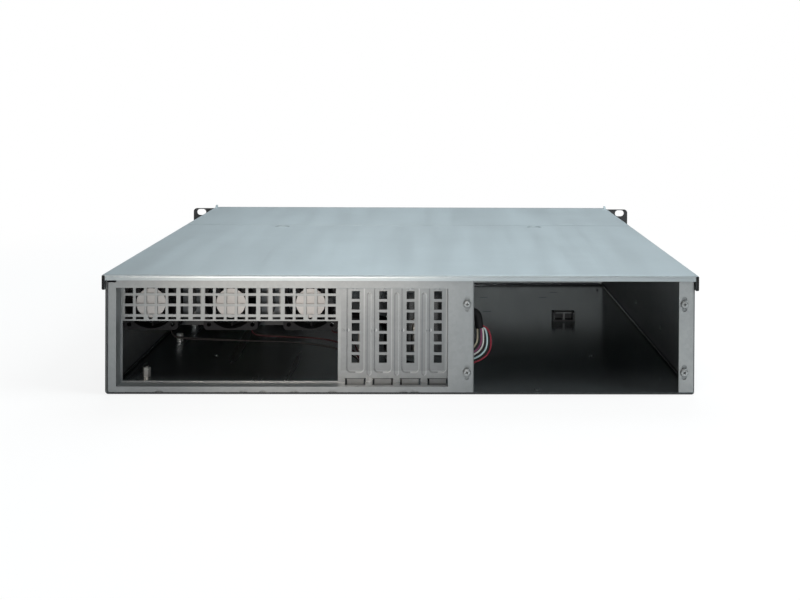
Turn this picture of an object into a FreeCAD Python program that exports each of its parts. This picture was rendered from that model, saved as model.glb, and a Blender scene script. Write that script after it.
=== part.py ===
"""Empty 2U rackmount server case, in millimetres.

Frame: origin at the centre of the underside. +Z is up, +Y is the rear with the
input/output window and the power supply bay, -Y is the front with the ears.
Every sheet-metal piece is a folded sheet with its real thickness.
"""
import FreeCAD, Part
import math
import os

V = FreeCAD.Vector

# ---- overall sizes ---------------------------------------------------------------
RACK_W = 482.6          # over the ears, the 19 inch rack width
EAR_OUT = 26.3          # an ear beyond its side wall
CASE_W = RACK_W - 2 * EAR_OUT           # over the side walls, 430 mm
CASE_D = 500.0          # from the rear face of the ears to the rear panel
CASE_H = 87.0           # underside to the top of the covers
SHEET = 1.2             # galvanised sheet of the body
COVER_SHEET = 1.0       # galvanised sheet of the covers
BEND_R = 1.2            # inside radius of the body's folds
SLACK = 0.2             # gap between sheets that slip past each other

X_WALL = CASE_W / 2                     # outer face of a side wall
X_IN = X_WALL - SHEET                   # inner face of a side wall
Y_REAR = CASE_D / 2
Y_FRONT = -CASE_D / 2
Z_FLOOR = SHEET                         # upper face of the floor
Z_RIM = CASE_H - COVER_SHEET            # upper face of the folded rims

# ---- tray ------------------------------------------------------------------------
RIM_W = 11.2            # width of the inward rims along the tops of the walls
STRIP_W = 11.9          # rear strip beside the power supply bay
STRIP_GAP = 3.4         # from the strip's top up to the covers' underside
WINDOW_H = 56.0         # air windows in the front wall
WINDOW_SILL = 16.0
AIR_POST = 12.0         # post between the two air windows
FLOOR_DIMPLE_R = 1.8    # pressed dimples in the floor
FLOOR_DIMPLE_RISE = 0.5
FLOOR_DIMPLES = ((155.0, 127.5), (-155.0, 127.5), (-100.0, 10.0))      # x, and from the rear
FLOOR_SLOT_L = 8.0      # slots for cable ties in the floor
FLOOR_SLOT_W = 2.4
FLOOR_SLOTS = ((-77.9, 84.2), (-139.9, 83.4), (-154.7, 51.1), (-77.6, 167.3))      # x, and from the front
RAIL_STUDS = ((264.3, 21.8), (136.0, 22.3))     # from the rear, and z
STUD_HEAD_R = 2.2
STUD_HEAD_H = 0.9

# ---- rear panel ------------------------------------------------------------------
PANEL_DROP = 2.0        # panel's top below the covers' underside
RIM_FOLD = 10.0         # depth of the panel's folded rims
RECESS_D = 14.6         # how far the slot and window plate lies in
RECESS_EDGE = 7.8       # recess from the +X wall's outer face
RECESS_MARGIN = 7.34    # recess beyond the last slot's middle
RECESS_Z0 = 5.4
RECESS_TOP_GAP = 8.7    # recess's roof below the rims
POST_STRIP_W = 18.9     # strip between the recess and the bay
IO_W = 158.75           # input/output window, the board standard
IO_H = 44.45
IO_EDGE = 88.5          # window's middle from the +X wall
IO_SILL = 0.8           # plate left under the window
NOTCH_W = 6.0           # semi-oval relief notches along the panel's foot
NOTCH_H = 1.7
NOTCH_PLACES = (39.0, 100.2, 114.7, 137.3, 164.9, 216.7, 224.8)     # from the +X wall
CORNER_NOTCH_W = 6.4    # relief at the upper outer corner
CORNER_NOTCH_H = 2.7
FOOT_RELIEF = 0.9       # relief at the lower outer corner

# ---- air grille ------------------------------------------------------------------
HOLE = 5.9              # side of the square air holes
HOLE_PITCH = 7.96       # pitch inside a group of five columns
GROUP_GAP = 9.0         # pitch from group to single column to group
GROUPS = 3
GROUP_COLUMNS = 5
ROW_PITCH = 7.8
ROWS = 3
ROW_TOP_GAP = 0.3       # from the recess's roof to the uppermost holes
SHORT_H = 1.9           # short slots over the window
SHORT_RISE = 1.0        # web between window and short slots
PILOT_R = 1.7           # round holes under the outer groups
PILOT_RISE = 2.75

# ---- expansion slots -------------------------------------------------------------
SLOTS = 4
SLOT_PITCH = 20.32
SLOT_FROM_IO = 92.3     # nearest slot from the window's middle
SLOT_W = 12.7
SLOT_Z0 = 12.6
SLOT_TOP_GAP = 2.4      # slots below the recess's roof
SLOT_R = 3.0
RIB_W = 3.0             # pressed ribs between the slots
RIB_Z0 = 10.7
RIB_TOP_GAP = 5.8
RIB_RISE = 1.0
TONGUE_SLOT_W = 15.0
TONGUE_SLOT_H = 2.6
TONGUE_SLOT_D = 9.0
COVER_T = 1.0           # slot cover sheet
COVER_W = 18.4
COVER_FOOT_Z = 9.0
TONGUE_W = 12.4
TONGUE_Z = 3.0
TAB_D = 13.0
SLOT_SCREW_IN = 7.5     # screw from the window plate's front face
SLOT_SCREW_L = 3.8
VENTS = 7
VENT_PITCH = 7.9
VENT_TOP_GAP = 7.5      # uppermost vent's middle below the recess's roof
DIMPLE_R = 0.9          # pressed dimples beside the slots
DIMPLE_RISE = 0.5
DIMPLE_OUT = 9.0        # from the slot's middle
DIMPLE_Z = 43.8

# ---- screws ----------------------------------------------------------------------
M3_R = 1.5
M3_HEAD_R = 3.0
M3_HEAD_H = 2.1
HOLE_SLACK = 0.15       # radial, shank to clearance hole
FIT_SLACK = 0.05        # radial, running fit
COVER_SCREW_L = 6.0
EAR_SCREW_L = 5.0       # ears and front panel
BOARD_SCREW_L = 6.0

# ---- power supply screws and nut plates ------------------------------------------
PSU_INSET = 5.1         # screw line outside the bay's edge, rear panel side
PSU_STRIP_INSET = 3.9   # screw line outside the bay's edge, strip side
PSU_SCREW_Z = 16.2
PSU_SCREW_RISE = 49.9
PSU_SLOT_L = 11.0
PSU_SLOT_R = 1.8
PSU_SCREW_L = 7.0
NUT_T = 2.0
NUT_W = 7.4
NUT_MARGIN = 6.0

# ---- fans ------------------------------------------------------------------------
FAN = 40.0
FAN_T = 20.0
FAN_TOP_GAP = 13.6      # fans' middle below the recess's roof
FAN_BORE_R = 19.0
FAN_CORNER_R = 3.0
FAN_HOLE = 16.0         # screw holes from the centre
FAN_HOLE_R = 1.6
MOTOR_R = 11.0
MOTOR_T = 3.0
MOTOR_INSET = 0.6
STRUT_W = 2.2
STRUTS = 4
BEARING_R = 3.0
BEARING_L = 8.0
HUB_R = 10.4
HUB_L = 12.0
HUB_WALL = 1.2
HUB_GAP = 0.7           # hub to motor plate
TIP_GAP = 0.8           # blade tip to bore
BLADES = 7
BLADE_T = 1.0
BLADE_ROOT_DEG = 40.0
BLADE_TIP_DEG = 58.0
LABEL_T = 0.2
LABEL_R = 10.8
BRACKET_SKIRT = 14.0
BRACKET_MARGIN = 1.5
BRACKET_ARM_DOWN = 9.0  # arms between the fans, from the fans' middle
BRACKET_ARM_UP = 12.0
FAN_SCREW_L = 9.0
FAN_SCREW_HEAD_R = 2.8
FAN_SCREW_HEAD_H = 1.8
RIVET_HEAD_R = 2.6
RIVET_HEAD_H = 1.2
RIVET_OFF = 11.0        # rivets above and below the fans' middle

# ---- motherboard standoffs (the board standard's hole pattern) -------------------
BOARD_DATUM = 12.27     # first hole row behind the window plate
ROW_C = 22.86
ROW_2 = 154.94
ROW_3 = 227.33
COL_2 = 157.48
COL_3 = 203.2
BOARD_EDGE = 19.2       # outermost column from the +X wall
STANDOFF_AF = 5.0
STANDOFF_TOP = 8.4
STANDOFF_R = 1.25
STANDOFF_BORE = 5.0

# ---- covers ----------------------------------------------------------------------
SEAM_Y = -75.0
SEAM_GAP = 1.0
HEM_T = 2.1             # doubled lower edge of the covers
HEM_H = 11.0
HEM_GAP = 0.3
COVER_SCREW_IN = 28.0   # screws from the fixed cover's ends
COVER_SCREW_DOWN = 0.62 # share of the hem's height
LIP_H = 4.1
LIP_R = 1.9             # outer bend of the rear lip
LIP_GAP = 0.3
TONGUE_L = 10.0
TONGUE_LAP = 6.0
TONGUE_SIDE = 3.8
CATCH_X = 121.8
CATCH_BEHIND_SEAM = 14.0
CATCH_R = 7.2
CATCH_DROP = 1.7
LUG_H = 2.4             # corner lugs of the fixed cover
LUG_L = 6.0

# ---- front -----------------------------------------------------------------------
FRONT_T = 2.0
FRONT_Z0 = 0.8          # lower edge of the front panel and ears
PANEL_SCREW_IN = 7.0    # panel screws from its edges
EAR_TOP_GAP = 1.4       # ears' upper edge below the covers' top
EAR_R = 3.5
EAR_LEG = 50.0
EAR_SCREW_IN = 12.0     # ear screws from the leg's rear edge
EAR_LEG_Z0 = 6.0
EAR_LEG_GAP = 2.0       # legs below the covers' hems
EAR_GAP = 0.2
RACK_SPAN = 465.1
RACK_RISE = 76.2
RACK_SLOT_R = 3.4
RACK_SLOT_L = 10.0
EIA_MID_Z = 43.3
HANDLE_R = 4.0
HANDLE_SPAN = 54.0
HANDLE_REACH = 38.0
HANDLE_OUT = 6.2        # handles from the side walls
HANDLE_BEND = 9.0
HANDLE_BORE = 9.0
HANDLE_SCREW_L = 10.0
M4_HEAD_R = 3.6
M4_HEAD_H = 2.4
M4_R = 2.0
AIR_W = 4.6
AIR_H = 25.0
AIR_PITCH = 9.0
AIR_COUNT = 21
AIR_X0 = -64.0
AIR_GAP_Z = 6.0

# ---- front controls --------------------------------------------------------------
CONTROL_EDGE = 34.0     # controls from the +X wall
CONTROL_W = 42.0
CONTROL_Z0 = 12.0
CONTROL_TOP_GAP = 11.0  # below the rims
PCB_Y = 13.0            # board behind the front wall
PCB_T = 1.6
POST_R = 3.0
POST_OUT = 24.5         # posts from the middle of the board
POST_IN_Z = 6.0         # posts from its lower and upper edges
POST_BORE_INSET = 3.0
BOARD_W = 56.0
POWER_Z = 63.0
POWER_R = 5.0
RESET_Z = 51.0
RESET_R = 2.2
BUTTON_PROUD = 1.8
BUTTON_FLANGE = 1.4
BUTTON_TRAVEL = 1.5
STEM_R = 1.4
LAMP_R = 1.5
LAMP_DX = 11.0
SWITCH_L = 6.2
SWITCH_T = 4.0
USB_W = 13.2
USB_H = 5.8
USB_WALL = 0.5
USB_TONGUE = 2.0
USB_Z = (22.0, 36.0)

# ---- drive cage ------------------------------------------------------------------
CAGE_EDGE = 123.0       # cage's middle from the +X wall
CAGE_IN_W = 102.4       # a 101.6 mm wide drive with play
CAGE_H = 60.0
CAGE_L = 150.0
CAGE_IN = 6.0           # cage behind the front wall's outer face
CAGE_FOOT = 10.0
CAGE_SCREW_IN = 20.0    # foot screws from the cage's ends
CAGE_VENT_EDGE = 16.0   # frame left round the opening in its top
DRIVE_PITCH = 27.0
DRIVE_HOLE_R = 1.8
DRIVE_HOLE_STEP = 101.6
DRIVE_HOLE_Y = 28.5
DRIVE_HOLE_Z = 12.0
DRIVE_SLOT_L = 8.0

# ---- wiring ----------------------------------------------------------------------
WIRE_R = 0.62
WIRE_PITCH = 1.4
WIRE_COUNT = 8
LOOP_Z = 33.0
LOOP_R = 3.4
LOOP_IN = 24.0          # loop before the rear face
LOOP_DEPTH = 18.5       # hidden part of the loop, inwards from the bay's edge
LOOP_CREST = 8.0        # loop's crest above its outer bend
SLEEVE_R = 3.0
LEAD_R = 0.8
BOOT_WALL = 1.5         # boot that the loop's wires come out of
BOOT_FRONT = 5.0
BOOT_REAR = 3.0
BOOT_TOP = 10.0
BOOT_R = 1.0
PLUG_IN = 9.5           # multi-way plug from the loop's outer bend
PLUG_L = 9.0
PLUG_W = 5.2
PLUG_WALL = 1.2
TIE_BACK = 4.0          # tie round the lower legs
TIE_W = 2.5
TIE_T = 1.0
TIE_GAP = 0.3
HEADER_L = 9.0          # plug on the control board
HEADER_W = 16.0
HEADER_H = 8.0
HEADER_Z = 24.0
LEAD_SPREAD = 5.6       # fan leads side by side
LEAD_IN = 6.0           # lead from the fan's edge
LEAD_DROP = 4.6         # leads' level runs under the fans
LEAD_STEP = 1.6
FAN_PLUG_OUT = 34.7     # fan plugs from the boot
FAN_PLUG_L = 9.0
FAN_PLUG_W = 4.8
FAN_PLUG_H = 5.0
CLIP_EDGE = 67.0        # clip from the -X wall
CLIP_Y = -36.0
CLIP_W = 21.0
CLIP_D = 12.0
CLIP_BASE = 1.6
CLIP_H = 8.6
CLIP_WALL = 2.2
LATCH_W = 15.5
LATCH_T = 1.0
LATCH_STEM = 1.8

# ---- worked-out places -----------------------------------------------------------
RECESS_X1 = X_WALL - RECESS_EDGE
RECESS_Z1 = Z_RIM - RECESS_TOP_GAP
IO_X = X_WALL - IO_EDGE
SLOT_X = IO_X - SLOT_FROM_IO            # centre of the slot nearest to the window
RECESS_X0 = SLOT_X - (SLOTS - 1) * SLOT_PITCH - RECESS_MARGIN
BAY_X1 = RECESS_X0 - POST_STRIP_W       # bay's edge at the rear panel
BAY_X0 = -X_WALL + STRIP_W              # bay's edge at the strip
SLOT_Z1 = RECESS_Z1 - SLOT_TOP_GAP
RIB_Z1 = RECESS_Z1 - RIB_TOP_GAP
VENT_TOP_Z = RECESS_Z1 - VENT_TOP_GAP
FAN_Z = RECESS_Z1 - FAN_TOP_GAP
BOARD_X = X_WALL - BOARD_EDGE
EAR_H = CASE_H - EAR_TOP_GAP
EAR_LEG_Z1 = CASE_H - HEM_H - EAR_LEG_GAP
HANDLE_X = X_WALL + HANDLE_OUT
CONTROL_X = X_WALL - CONTROL_EDGE
CONTROL_Z1 = Z_RIM - CONTROL_TOP_GAP
CAGE_X = X_WALL - CAGE_EDGE
CAGE_Y0 = Y_FRONT + CAGE_IN
CLIP_X = -X_WALL + CLIP_EDGE
LOOP_Y = Y_REAR - LOOP_IN
LOOP_X = BAY_X1 - 0.5
LOOP_BACK_X = LOOP_X + LOOP_DEPTH
PLATE_OUT = Y_REAR - RECESS_D           # rear face of the recessed plate
PLATE_IN = PLATE_OUT - SHEET            # front face of the recessed plate
IO_Z = RECESS_Z0 + IO_SILL
PANEL_TOP = Z_RIM - PANEL_DROP
STRIP_TOP = Z_RIM - STRIP_GAP
GROUP_STEP = (GROUP_COLUMNS - 1) * HOLE_PITCH + 3 * GROUP_GAP
FAN_Y1 = PLATE_IN                       # rear face of the fans
FAN_Y0 = FAN_Y1 - FAN_T
BRACKET_Y0 = FAN_Y0 - SHEET
PCB_Y0 = Y_FRONT + SHEET + PCB_Y
PCB_Y1 = PCB_Y0 + PCB_T
FRONT_Y = Y_FRONT - FRONT_T
BOOT_X = LOOP_BACK_X + LOOP_R + (WIRE_COUNT - 1) * WIRE_PITCH / 2
PLUG_X0 = LOOP_X + PLUG_IN
FAN_PLUG_X = BOOT_X + FAN_PLUG_OUT
HEADER_X = CONTROL_X - 14.0
SLEEVE_Z = Z_FLOOR + SLEEVE_R + 0.3
CAGE_END = CAGE_Y0 + CAGE_L
SLEEVE_TURNS = (
    (CONTROL_X - 12.0, CAGE_END - 93.4),
    (CONTROL_X - 12.0, CAGE_END - 36.0),
    (CONTROL_X - 20.0, CAGE_END + 16.0),
    (CAGE_X + 28.0, CAGE_END + 42.0),
    (CAGE_X - 26.0, CAGE_END + 46.0),
    (CAGE_X - 70.0, LOOP_Y - 256.0),
    (CAGE_X - 78.0, LOOP_Y - 212.0),
    (CAGE_X - 75.0, LOOP_Y - 164.0),
    (CAGE_X - 80.0, LOOP_Y - 114.0),
    (CAGE_X - 79.0, LOOP_Y - 68.0),
)


# ---- shape helpers ---------------------------------------------------------------
def block(x0, x1, y0, y1, z0, z1):
    return Part.makeBox(x1 - x0, y1 - y0, z1 - z0, V(x0, y0, z0))


def rod(radius, start, end):
    return Part.makeCylinder(radius, (end - start).Length, start, end - start)


def union(shapes):
    first = shapes[0]
    rest = shapes[1:]
    if not rest:
        return first
    return first.multiFuse(rest).removeSplitter()


def cut(shape, tools):
    return shape.cut(Part.Compound(tools))


def slot_y(x, z, radius, length, y0, y1, upright=True):
    """A round-ended slot through the thickness y0 to y1."""
    half = length / 2 - radius
    step = V(0, 0, half) if upright else V(half, 0, 0)
    centre = V(x, y0, z)
    depth = V(0, y1 - y0, 0)
    ends = [rod(radius, centre + s, centre + s + depth) for s in (step, -step)]
    if upright:
        core = block(x - radius, x + radius, y0, y1, z - half, z + half)
    else:
        core = block(x - half, x + half, y0, y1, z - radius, z + radius)
    return union([core] + ends)


def rounded_block(x0, x1, y0, y1, z0, z1, radius, axis):
    """A block whose four edges along the axis are rounded."""
    shape = block(x0, x1, y0, y1, z0, z1)
    edges = [e for e in shape.Edges if abs(e.tangentAt(e.FirstParameter).dot(axis)) > 0.99]
    return shape.makeFillet(radius, edges)


def pan_screw(seat, axis, length, radius=M3_R, head_r=M3_HEAD_R, head_h=M3_HEAD_H):
    """A pan-head screw. seat is the centre under the head; axis leaves the head."""
    head = Part.makeCylinder(head_r, head_h)
    rim = [e for e in head.Edges if abs(e.BoundBox.ZMin - head_h) < 0.01 and e.BoundBox.XLength > head_r]
    head = head.makeFillet(head_h * 0.55, rim)
    shank = Part.makeCylinder(radius, length, V(0, 0, -length))
    screw = union([head, shank])
    screw.Placement = FreeCAD.Placement(seat, FreeCAD.Rotation(V(0, 0, 1), axis))
    return screw


def flat_screw(top, axis, length, radius=M3_R, head_r=M3_HEAD_R):
    """A countersunk screw. top is the centre of its flat head; axis leaves the head."""
    cone = head_r - radius
    profile = Part.makePolygon([V(0, 0, -length), V(radius, 0, -length), V(radius, 0, -cone),
                                V(head_r, 0, 0), V(0, 0, 0), V(0, 0, -length)])
    screw = Part.Face(profile).revolve(V(0, 0, 0), V(0, 0, 1), 360)
    screw.Placement = FreeCAD.Placement(top, FreeCAD.Rotation(V(0, 0, 1), axis))
    return screw


def sink(top, axis, depth, radius=M3_R, head_r=M3_HEAD_R):
    """The hole for a countersunk screw, with its clearance."""
    return flat_screw(top, axis, depth + HOLE_SLACK, radius + HOLE_SLACK, head_r + HOLE_SLACK)


def tube_path(points):
    """Straight runs joined by the largest tangent arcs that the runs allow."""
    edges = []
    start = points[0]
    for before, corner, after in zip(points, points[1:], points[2:]):
        into = corner - before
        out = after - corner
        turn = into.getAngle(out)
        reach = 0.45 * min(into.Length, out.Length)
        radius = reach / math.tan(turn / 2)
        into.normalize()
        out.normalize()
        first = corner - into * reach
        last = corner + out * reach
        middle = out - into
        middle.normalize()
        centre_off = radius / math.cos(turn / 2)
        centre = corner + middle * centre_off
        through = centre - middle * radius
        edges.append(Part.LineSegment(start, first).toShape())
        edges.append(Part.Arc(first, through, last).toShape())
        start = last
    edges.append(Part.LineSegment(start, points[-1]).toShape())
    return Part.Wire(edges)


def tube(points, radius):
    path = tube_path(points)
    circle = Part.Circle(points[0], points[1] - points[0], radius).toShape()
    shape = path.makePipeShell([Part.Wire([circle])], True, True)
    return shape


def mirror_x(shape):
    return shape.mirror(V(0, 0, 0), V(1, 0, 0))


# ---- tray ------------------------------------------------------------------------
def ear_screw_places():
    rise = (EAR_LEG_Z1 - EAR_LEG_Z0) / 4
    return [(Y_FRONT + EAR_LEG - EAR_SCREW_IN, EAR_LEG_Z0 + rise * k) for k in (1, 2, 3)]


def cover_screw_places():
    ends = (Y_FRONT + COVER_SCREW_IN, SEAM_Y - COVER_SCREW_IN)
    return [(y, CASE_H - HEM_H * COVER_SCREW_DOWN) for y in ends]


def panel_screw_places():
    rows = (PANEL_SCREW_IN, CASE_H - PANEL_SCREW_IN)
    return [(sx * (X_WALL - PANEL_SCREW_IN), z) for sx in (-1, 1) for z in rows]


def wall_rivet_places():
    return [(BRACKET_Y0 - BRACKET_SKIRT / 2, z) for z in (FAN_Z - RIVET_OFF, FAN_Z + RIVET_OFF)]


def cage_screw_places():
    x_out = CAGE_IN_W / 2 + SHEET + CAGE_FOOT / 2
    ends = (CAGE_Y0 + CAGE_SCREW_IN, CAGE_END - CAGE_SCREW_IN)
    return [(CAGE_X + sx * x_out, y) for sx in (-1, 1) for y in ends]


def post_places():
    rows = (CONTROL_Z0 + POST_IN_Z, CONTROL_Z1 - POST_IN_Z)
    return [(CONTROL_X + sx * POST_OUT, z) for sx in (-1, 1) for z in rows]


def air_span():
    return AIR_X0 - AIR_W, AIR_X0 + (AIR_COUNT - 1) * AIR_PITCH + AIR_W


def psu_screw_places():
    left = BAY_X1 + PSU_INSET
    right = BAY_X0 - PSU_STRIP_INSET
    return [(x, z) for x in (left, right) for z in (PSU_SCREW_Z, PSU_SCREW_Z + PSU_SCREW_RISE)]


def floor_dimples(radius, z0, z1):
    return [rod(radius, V(x, Y_REAR - back, z0), V(x, Y_REAR - back, z1)) for x, back in FLOOR_DIMPLES]


def floor_slots():
    half_l = FLOOR_SLOT_L / 2
    half_w = FLOOR_SLOT_W / 2
    places = [(x, Y_FRONT + ahead) for x, ahead in FLOOR_SLOTS]
    return [block(x - half_l, x + half_l, y - half_w, y + half_w, 0, Z_FLOOR) for x, y in places]


def rail_stud_places():
    return [(Y_REAR - back, z) for back, z in RAIL_STUDS]


def rail_studs():
    """Rivets in the side walls, set for slide rails: heads inside, shanks flush outside."""
    return [pan_screw(V(side * X_IN, y, z), V(-side, 0, 0), SHEET, M3_R, STUD_HEAD_R, STUD_HEAD_H)
            for side in (-1, 1) for y, z in rail_stud_places()]


def chassis_tray():
    along = V(0, 1, 0)
    outer = rounded_block(-X_WALL, X_WALL, Y_FRONT, Y_REAR, 0, Z_RIM, BEND_R + SHEET, along)
    inner = rounded_block(-X_IN, X_IN, Y_FRONT, Y_REAR, Z_FLOOR, Z_RIM - SHEET, BEND_R, along)
    gap = block(-X_WALL + RIM_W, X_WALL - RIM_W, Y_FRONT, Y_REAR, Z_FLOOR + BEND_R, Z_RIM)
    body = outer.cut(inner).cut(gap)
    wall_in = Y_FRONT + SHEET
    front = block(-X_IN, X_IN, Y_FRONT, wall_in, Z_FLOOR, Z_RIM)
    front_rim = block(-X_WALL + RIM_W, X_WALL - RIM_W, wall_in, wall_in + RIM_W, Z_RIM - SHEET, Z_RIM)
    strip = block(-X_IN, BAY_X0, Y_REAR - SHEET, Y_REAR, Z_FLOOR, STRIP_TOP)
    bumps = floor_dimples(FLOOR_DIMPLE_R, 0, Z_FLOOR + FLOOR_DIMPLE_RISE)
    body = union([body, front, front_rim, strip] + bumps)
    tools = [block(BAY_X0 - STRIP_W, BAY_X0, Y_REAR - SHEET, Y_REAR, STRIP_TOP, Z_RIM)]
    tools += floor_dimples(FLOOR_DIMPLE_R - FLOOR_DIMPLE_RISE, 0, FLOOR_DIMPLE_RISE)
    tools += floor_slots()
    tools += tray_openings(wall_in)
    tools += tray_holes(wall_in)
    body = cut(body, tools)
    return round_strip_fold(body)


def tray_openings(wall_in):
    x0, x1 = air_span()
    top = WINDOW_SILL + WINDOW_H
    mid = (x0 + x1) / 2
    half_post = AIR_POST / 2
    controls = block(CONTROL_X - CONTROL_W / 2, CONTROL_X + CONTROL_W / 2, Y_FRONT, wall_in,
                     CONTROL_Z0, CONTROL_Z1)
    air = [block(x0, mid - half_post, Y_FRONT, wall_in, WINDOW_SILL, top),
           block(mid + half_post, x1, Y_FRONT, wall_in, WINDOW_SILL, top)]
    return [controls] + air


def tray_holes(wall_in):
    r = M3_R + HOLE_SLACK
    tools = []
    for side in (-1, 1):
        for y, z in ear_screw_places() + cover_screw_places() + rail_stud_places():
            tools.append(rod(r, V(side * X_IN, y, z), V(side * X_WALL, y, z)))
    for y, z in wall_rivet_places():
        tools.append(rod(r, V(X_IN, y, z), V(X_WALL, y, z)))
    for x, z in panel_screw_places():
        tools.append(rod(r, V(x, Y_FRONT, z), V(x, wall_in, z)))
    for x, y in cage_screw_places():
        tools.append(rod(r, V(x, y, 0), V(x, y, Z_FLOOR)))
    for x, z in psu_screw_places()[2:]:
        tools.append(slot_y(x, z, PSU_SLOT_R, PSU_SLOT_L, Y_REAR - SHEET, Y_REAR))
    return tools


def round_strip_fold(body):
    """Round the outer corner where the side wall folds into the rear strip."""
    r = BEND_R + SHEET
    corner = block(-X_WALL, -X_WALL + r, Y_REAR - r, Y_REAR, 0, Z_RIM)
    keep = Part.makeCylinder(r, Z_RIM, V(-X_WALL + r, Y_REAR - r, 0))
    return body.cut(corner.cut(keep))


# ---- rear panel ------------------------------------------------------------------
def group_centres():
    return [IO_X + GROUP_STEP * (k - (GROUPS - 1) / 2) for k in range(GROUPS)]


def grille_columns():
    centres = group_centres()
    half = (GROUP_COLUMNS - 1) / 2
    columns = [c + HOLE_PITCH * (k - half) for c in centres for k in range(GROUP_COLUMNS)]
    for c in centres[:-1]:
        edge = c + half * HOLE_PITCH
        columns += [edge + GROUP_GAP, edge + 2 * GROUP_GAP]
    return sorted(columns)


def grille_holes():
    tools = []
    half = HOLE / 2
    top = RECESS_Z1 - ROW_TOP_GAP - half
    short_z = IO_Z + IO_H + SHORT_RISE
    pilots = (group_centres()[0], group_centres()[-1])
    for x in grille_columns():
        for row in range(ROWS):
            z = top - ROW_PITCH * row
            tools.append(block(x - half, x + half, PLATE_IN, PLATE_OUT, z - half, z + half))
        if any(abs(x - p) < HOLE_PITCH / 2 for p in pilots):
            z = IO_Z + IO_H + PILOT_RISE
            tools.append(rod(PILOT_R, V(x, PLATE_IN, z), V(x, PLATE_OUT, z)))
        else:
            tools.append(block(x - half, x + half, PLATE_IN, PLATE_OUT, short_z, short_z + SHORT_H))
    return tools


def slot_centres():
    return [SLOT_X - SLOT_PITCH * k for k in range(SLOTS)]


def slot_opening(x):
    upper = block(x - SLOT_W / 2, x + SLOT_W / 2, PLATE_IN, PLATE_OUT, SLOT_Z0 + SLOT_R, SLOT_Z1)
    lower = rounded_block(x - SLOT_W / 2, x + SLOT_W / 2, PLATE_IN, PLATE_OUT, SLOT_Z0,
                          SLOT_Z0 + 4 * SLOT_R, SLOT_R, V(0, 1, 0))
    return union([upper, lower])


def tongue_slot(x):
    half = TONGUE_SLOT_W / 2
    return block(x - half, x + half, PLATE_IN, PLATE_IN + TONGUE_SLOT_D, RECESS_Z0 - SHEET,
                 RECESS_Z0 + TONGUE_SLOT_H)


def rib_centres():
    return [(a + b) / 2 for a, b in zip(slot_centres(), slot_centres()[1:])]


def rib(x, out):
    """A pressed rib: raised on the rear face and hollow on the front face."""
    mid = (RIB_Z0 + RIB_Z1) / 2
    length = RIB_Z1 - RIB_Z0
    if out:
        return slot_y(x, mid, RIB_W / 2, length, PLATE_OUT, PLATE_OUT + RIB_RISE)
    groove = RIB_W / 2 - RIB_RISE
    return slot_y(x, mid, groove, length - 2 * RIB_RISE, PLATE_IN, PLATE_IN + RIB_RISE)


def dimple(x):
    """A small pressed dimple on the rear face."""
    bump = rod(DIMPLE_R, V(x, PLATE_OUT, DIMPLE_Z), V(x, PLATE_OUT + DIMPLE_RISE, DIMPLE_Z))
    crown = [e for e in bump.Edges if abs(e.BoundBox.YMin - PLATE_OUT - DIMPLE_RISE) < 0.01]
    return bump.makeFillet(DIMPLE_RISE * 0.8, crown)


def rear_panel():
    x_out = X_IN - SLACK
    foot = Z_FLOOR + SLACK
    face = block(BAY_X1, x_out, Y_REAR - SHEET, Y_REAR, foot, PANEL_TOP)
    face = face.cut(block(RECESS_X0, RECESS_X1, Y_REAR - SHEET, Y_REAR, RECESS_Z0, RECESS_Z1))
    cup = block(RECESS_X0 - SHEET, RECESS_X1 + SHEET, PLATE_IN, Y_REAR - SHEET, RECESS_Z0 - SHEET,
                RECESS_Z1 + SHEET)
    cup = cup.cut(block(RECESS_X0, RECESS_X1, PLATE_OUT, Y_REAR, RECESS_Z0, RECESS_Z1))
    y_in = Y_REAR - RIM_FOLD
    top_rim = block(BAY_X1, x_out, y_in, Y_REAR - SHEET, PANEL_TOP - SHEET, PANEL_TOP)
    foot_rim = block(BAY_X1 + SHEET, x_out - SHEET, y_in, Y_REAR - SHEET, foot, foot + SHEET)
    side_rim = block(x_out - SHEET, x_out, y_in, Y_REAR - SHEET, foot, PANEL_TOP)
    bay_rim = block(BAY_X1, BAY_X1 + SHEET, y_in, Y_REAR - SHEET, foot, PANEL_TOP)
    ribs = [rib(x, True) for x in rib_centres()]
    dimples = [dimple(x + DIMPLE_OUT) for x in slot_centres()]
    body = union([face, cup, top_rim, foot_rim, side_rim, bay_rim] + ribs + dimples)
    body = round_panel_folds(body, x_out)
    return cut(body, panel_cuts(x_out, foot))


def round_panel_folds(body, x_out):
    """Round the outer edges of the top, side and bay folds."""
    edges = []
    for edge in body.Edges:
        box = edge.BoundBox
        on_face = abs(box.YMin - Y_REAR) < 0.01 and abs(box.YMax - Y_REAR) < 0.01
        top = abs(box.ZMin - PANEL_TOP) < 0.01 and box.XLength > CASE_W / 3
        side = abs(box.XMin - x_out) < 0.01 and box.ZLength > CASE_H / 2
        bay = abs(box.XMax - BAY_X1) < 0.01 and box.ZLength > CASE_H / 2
        if on_face and (top or side or bay):
            edges.append(edge)
    return body.makeFillet(BEND_R, edges)


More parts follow.
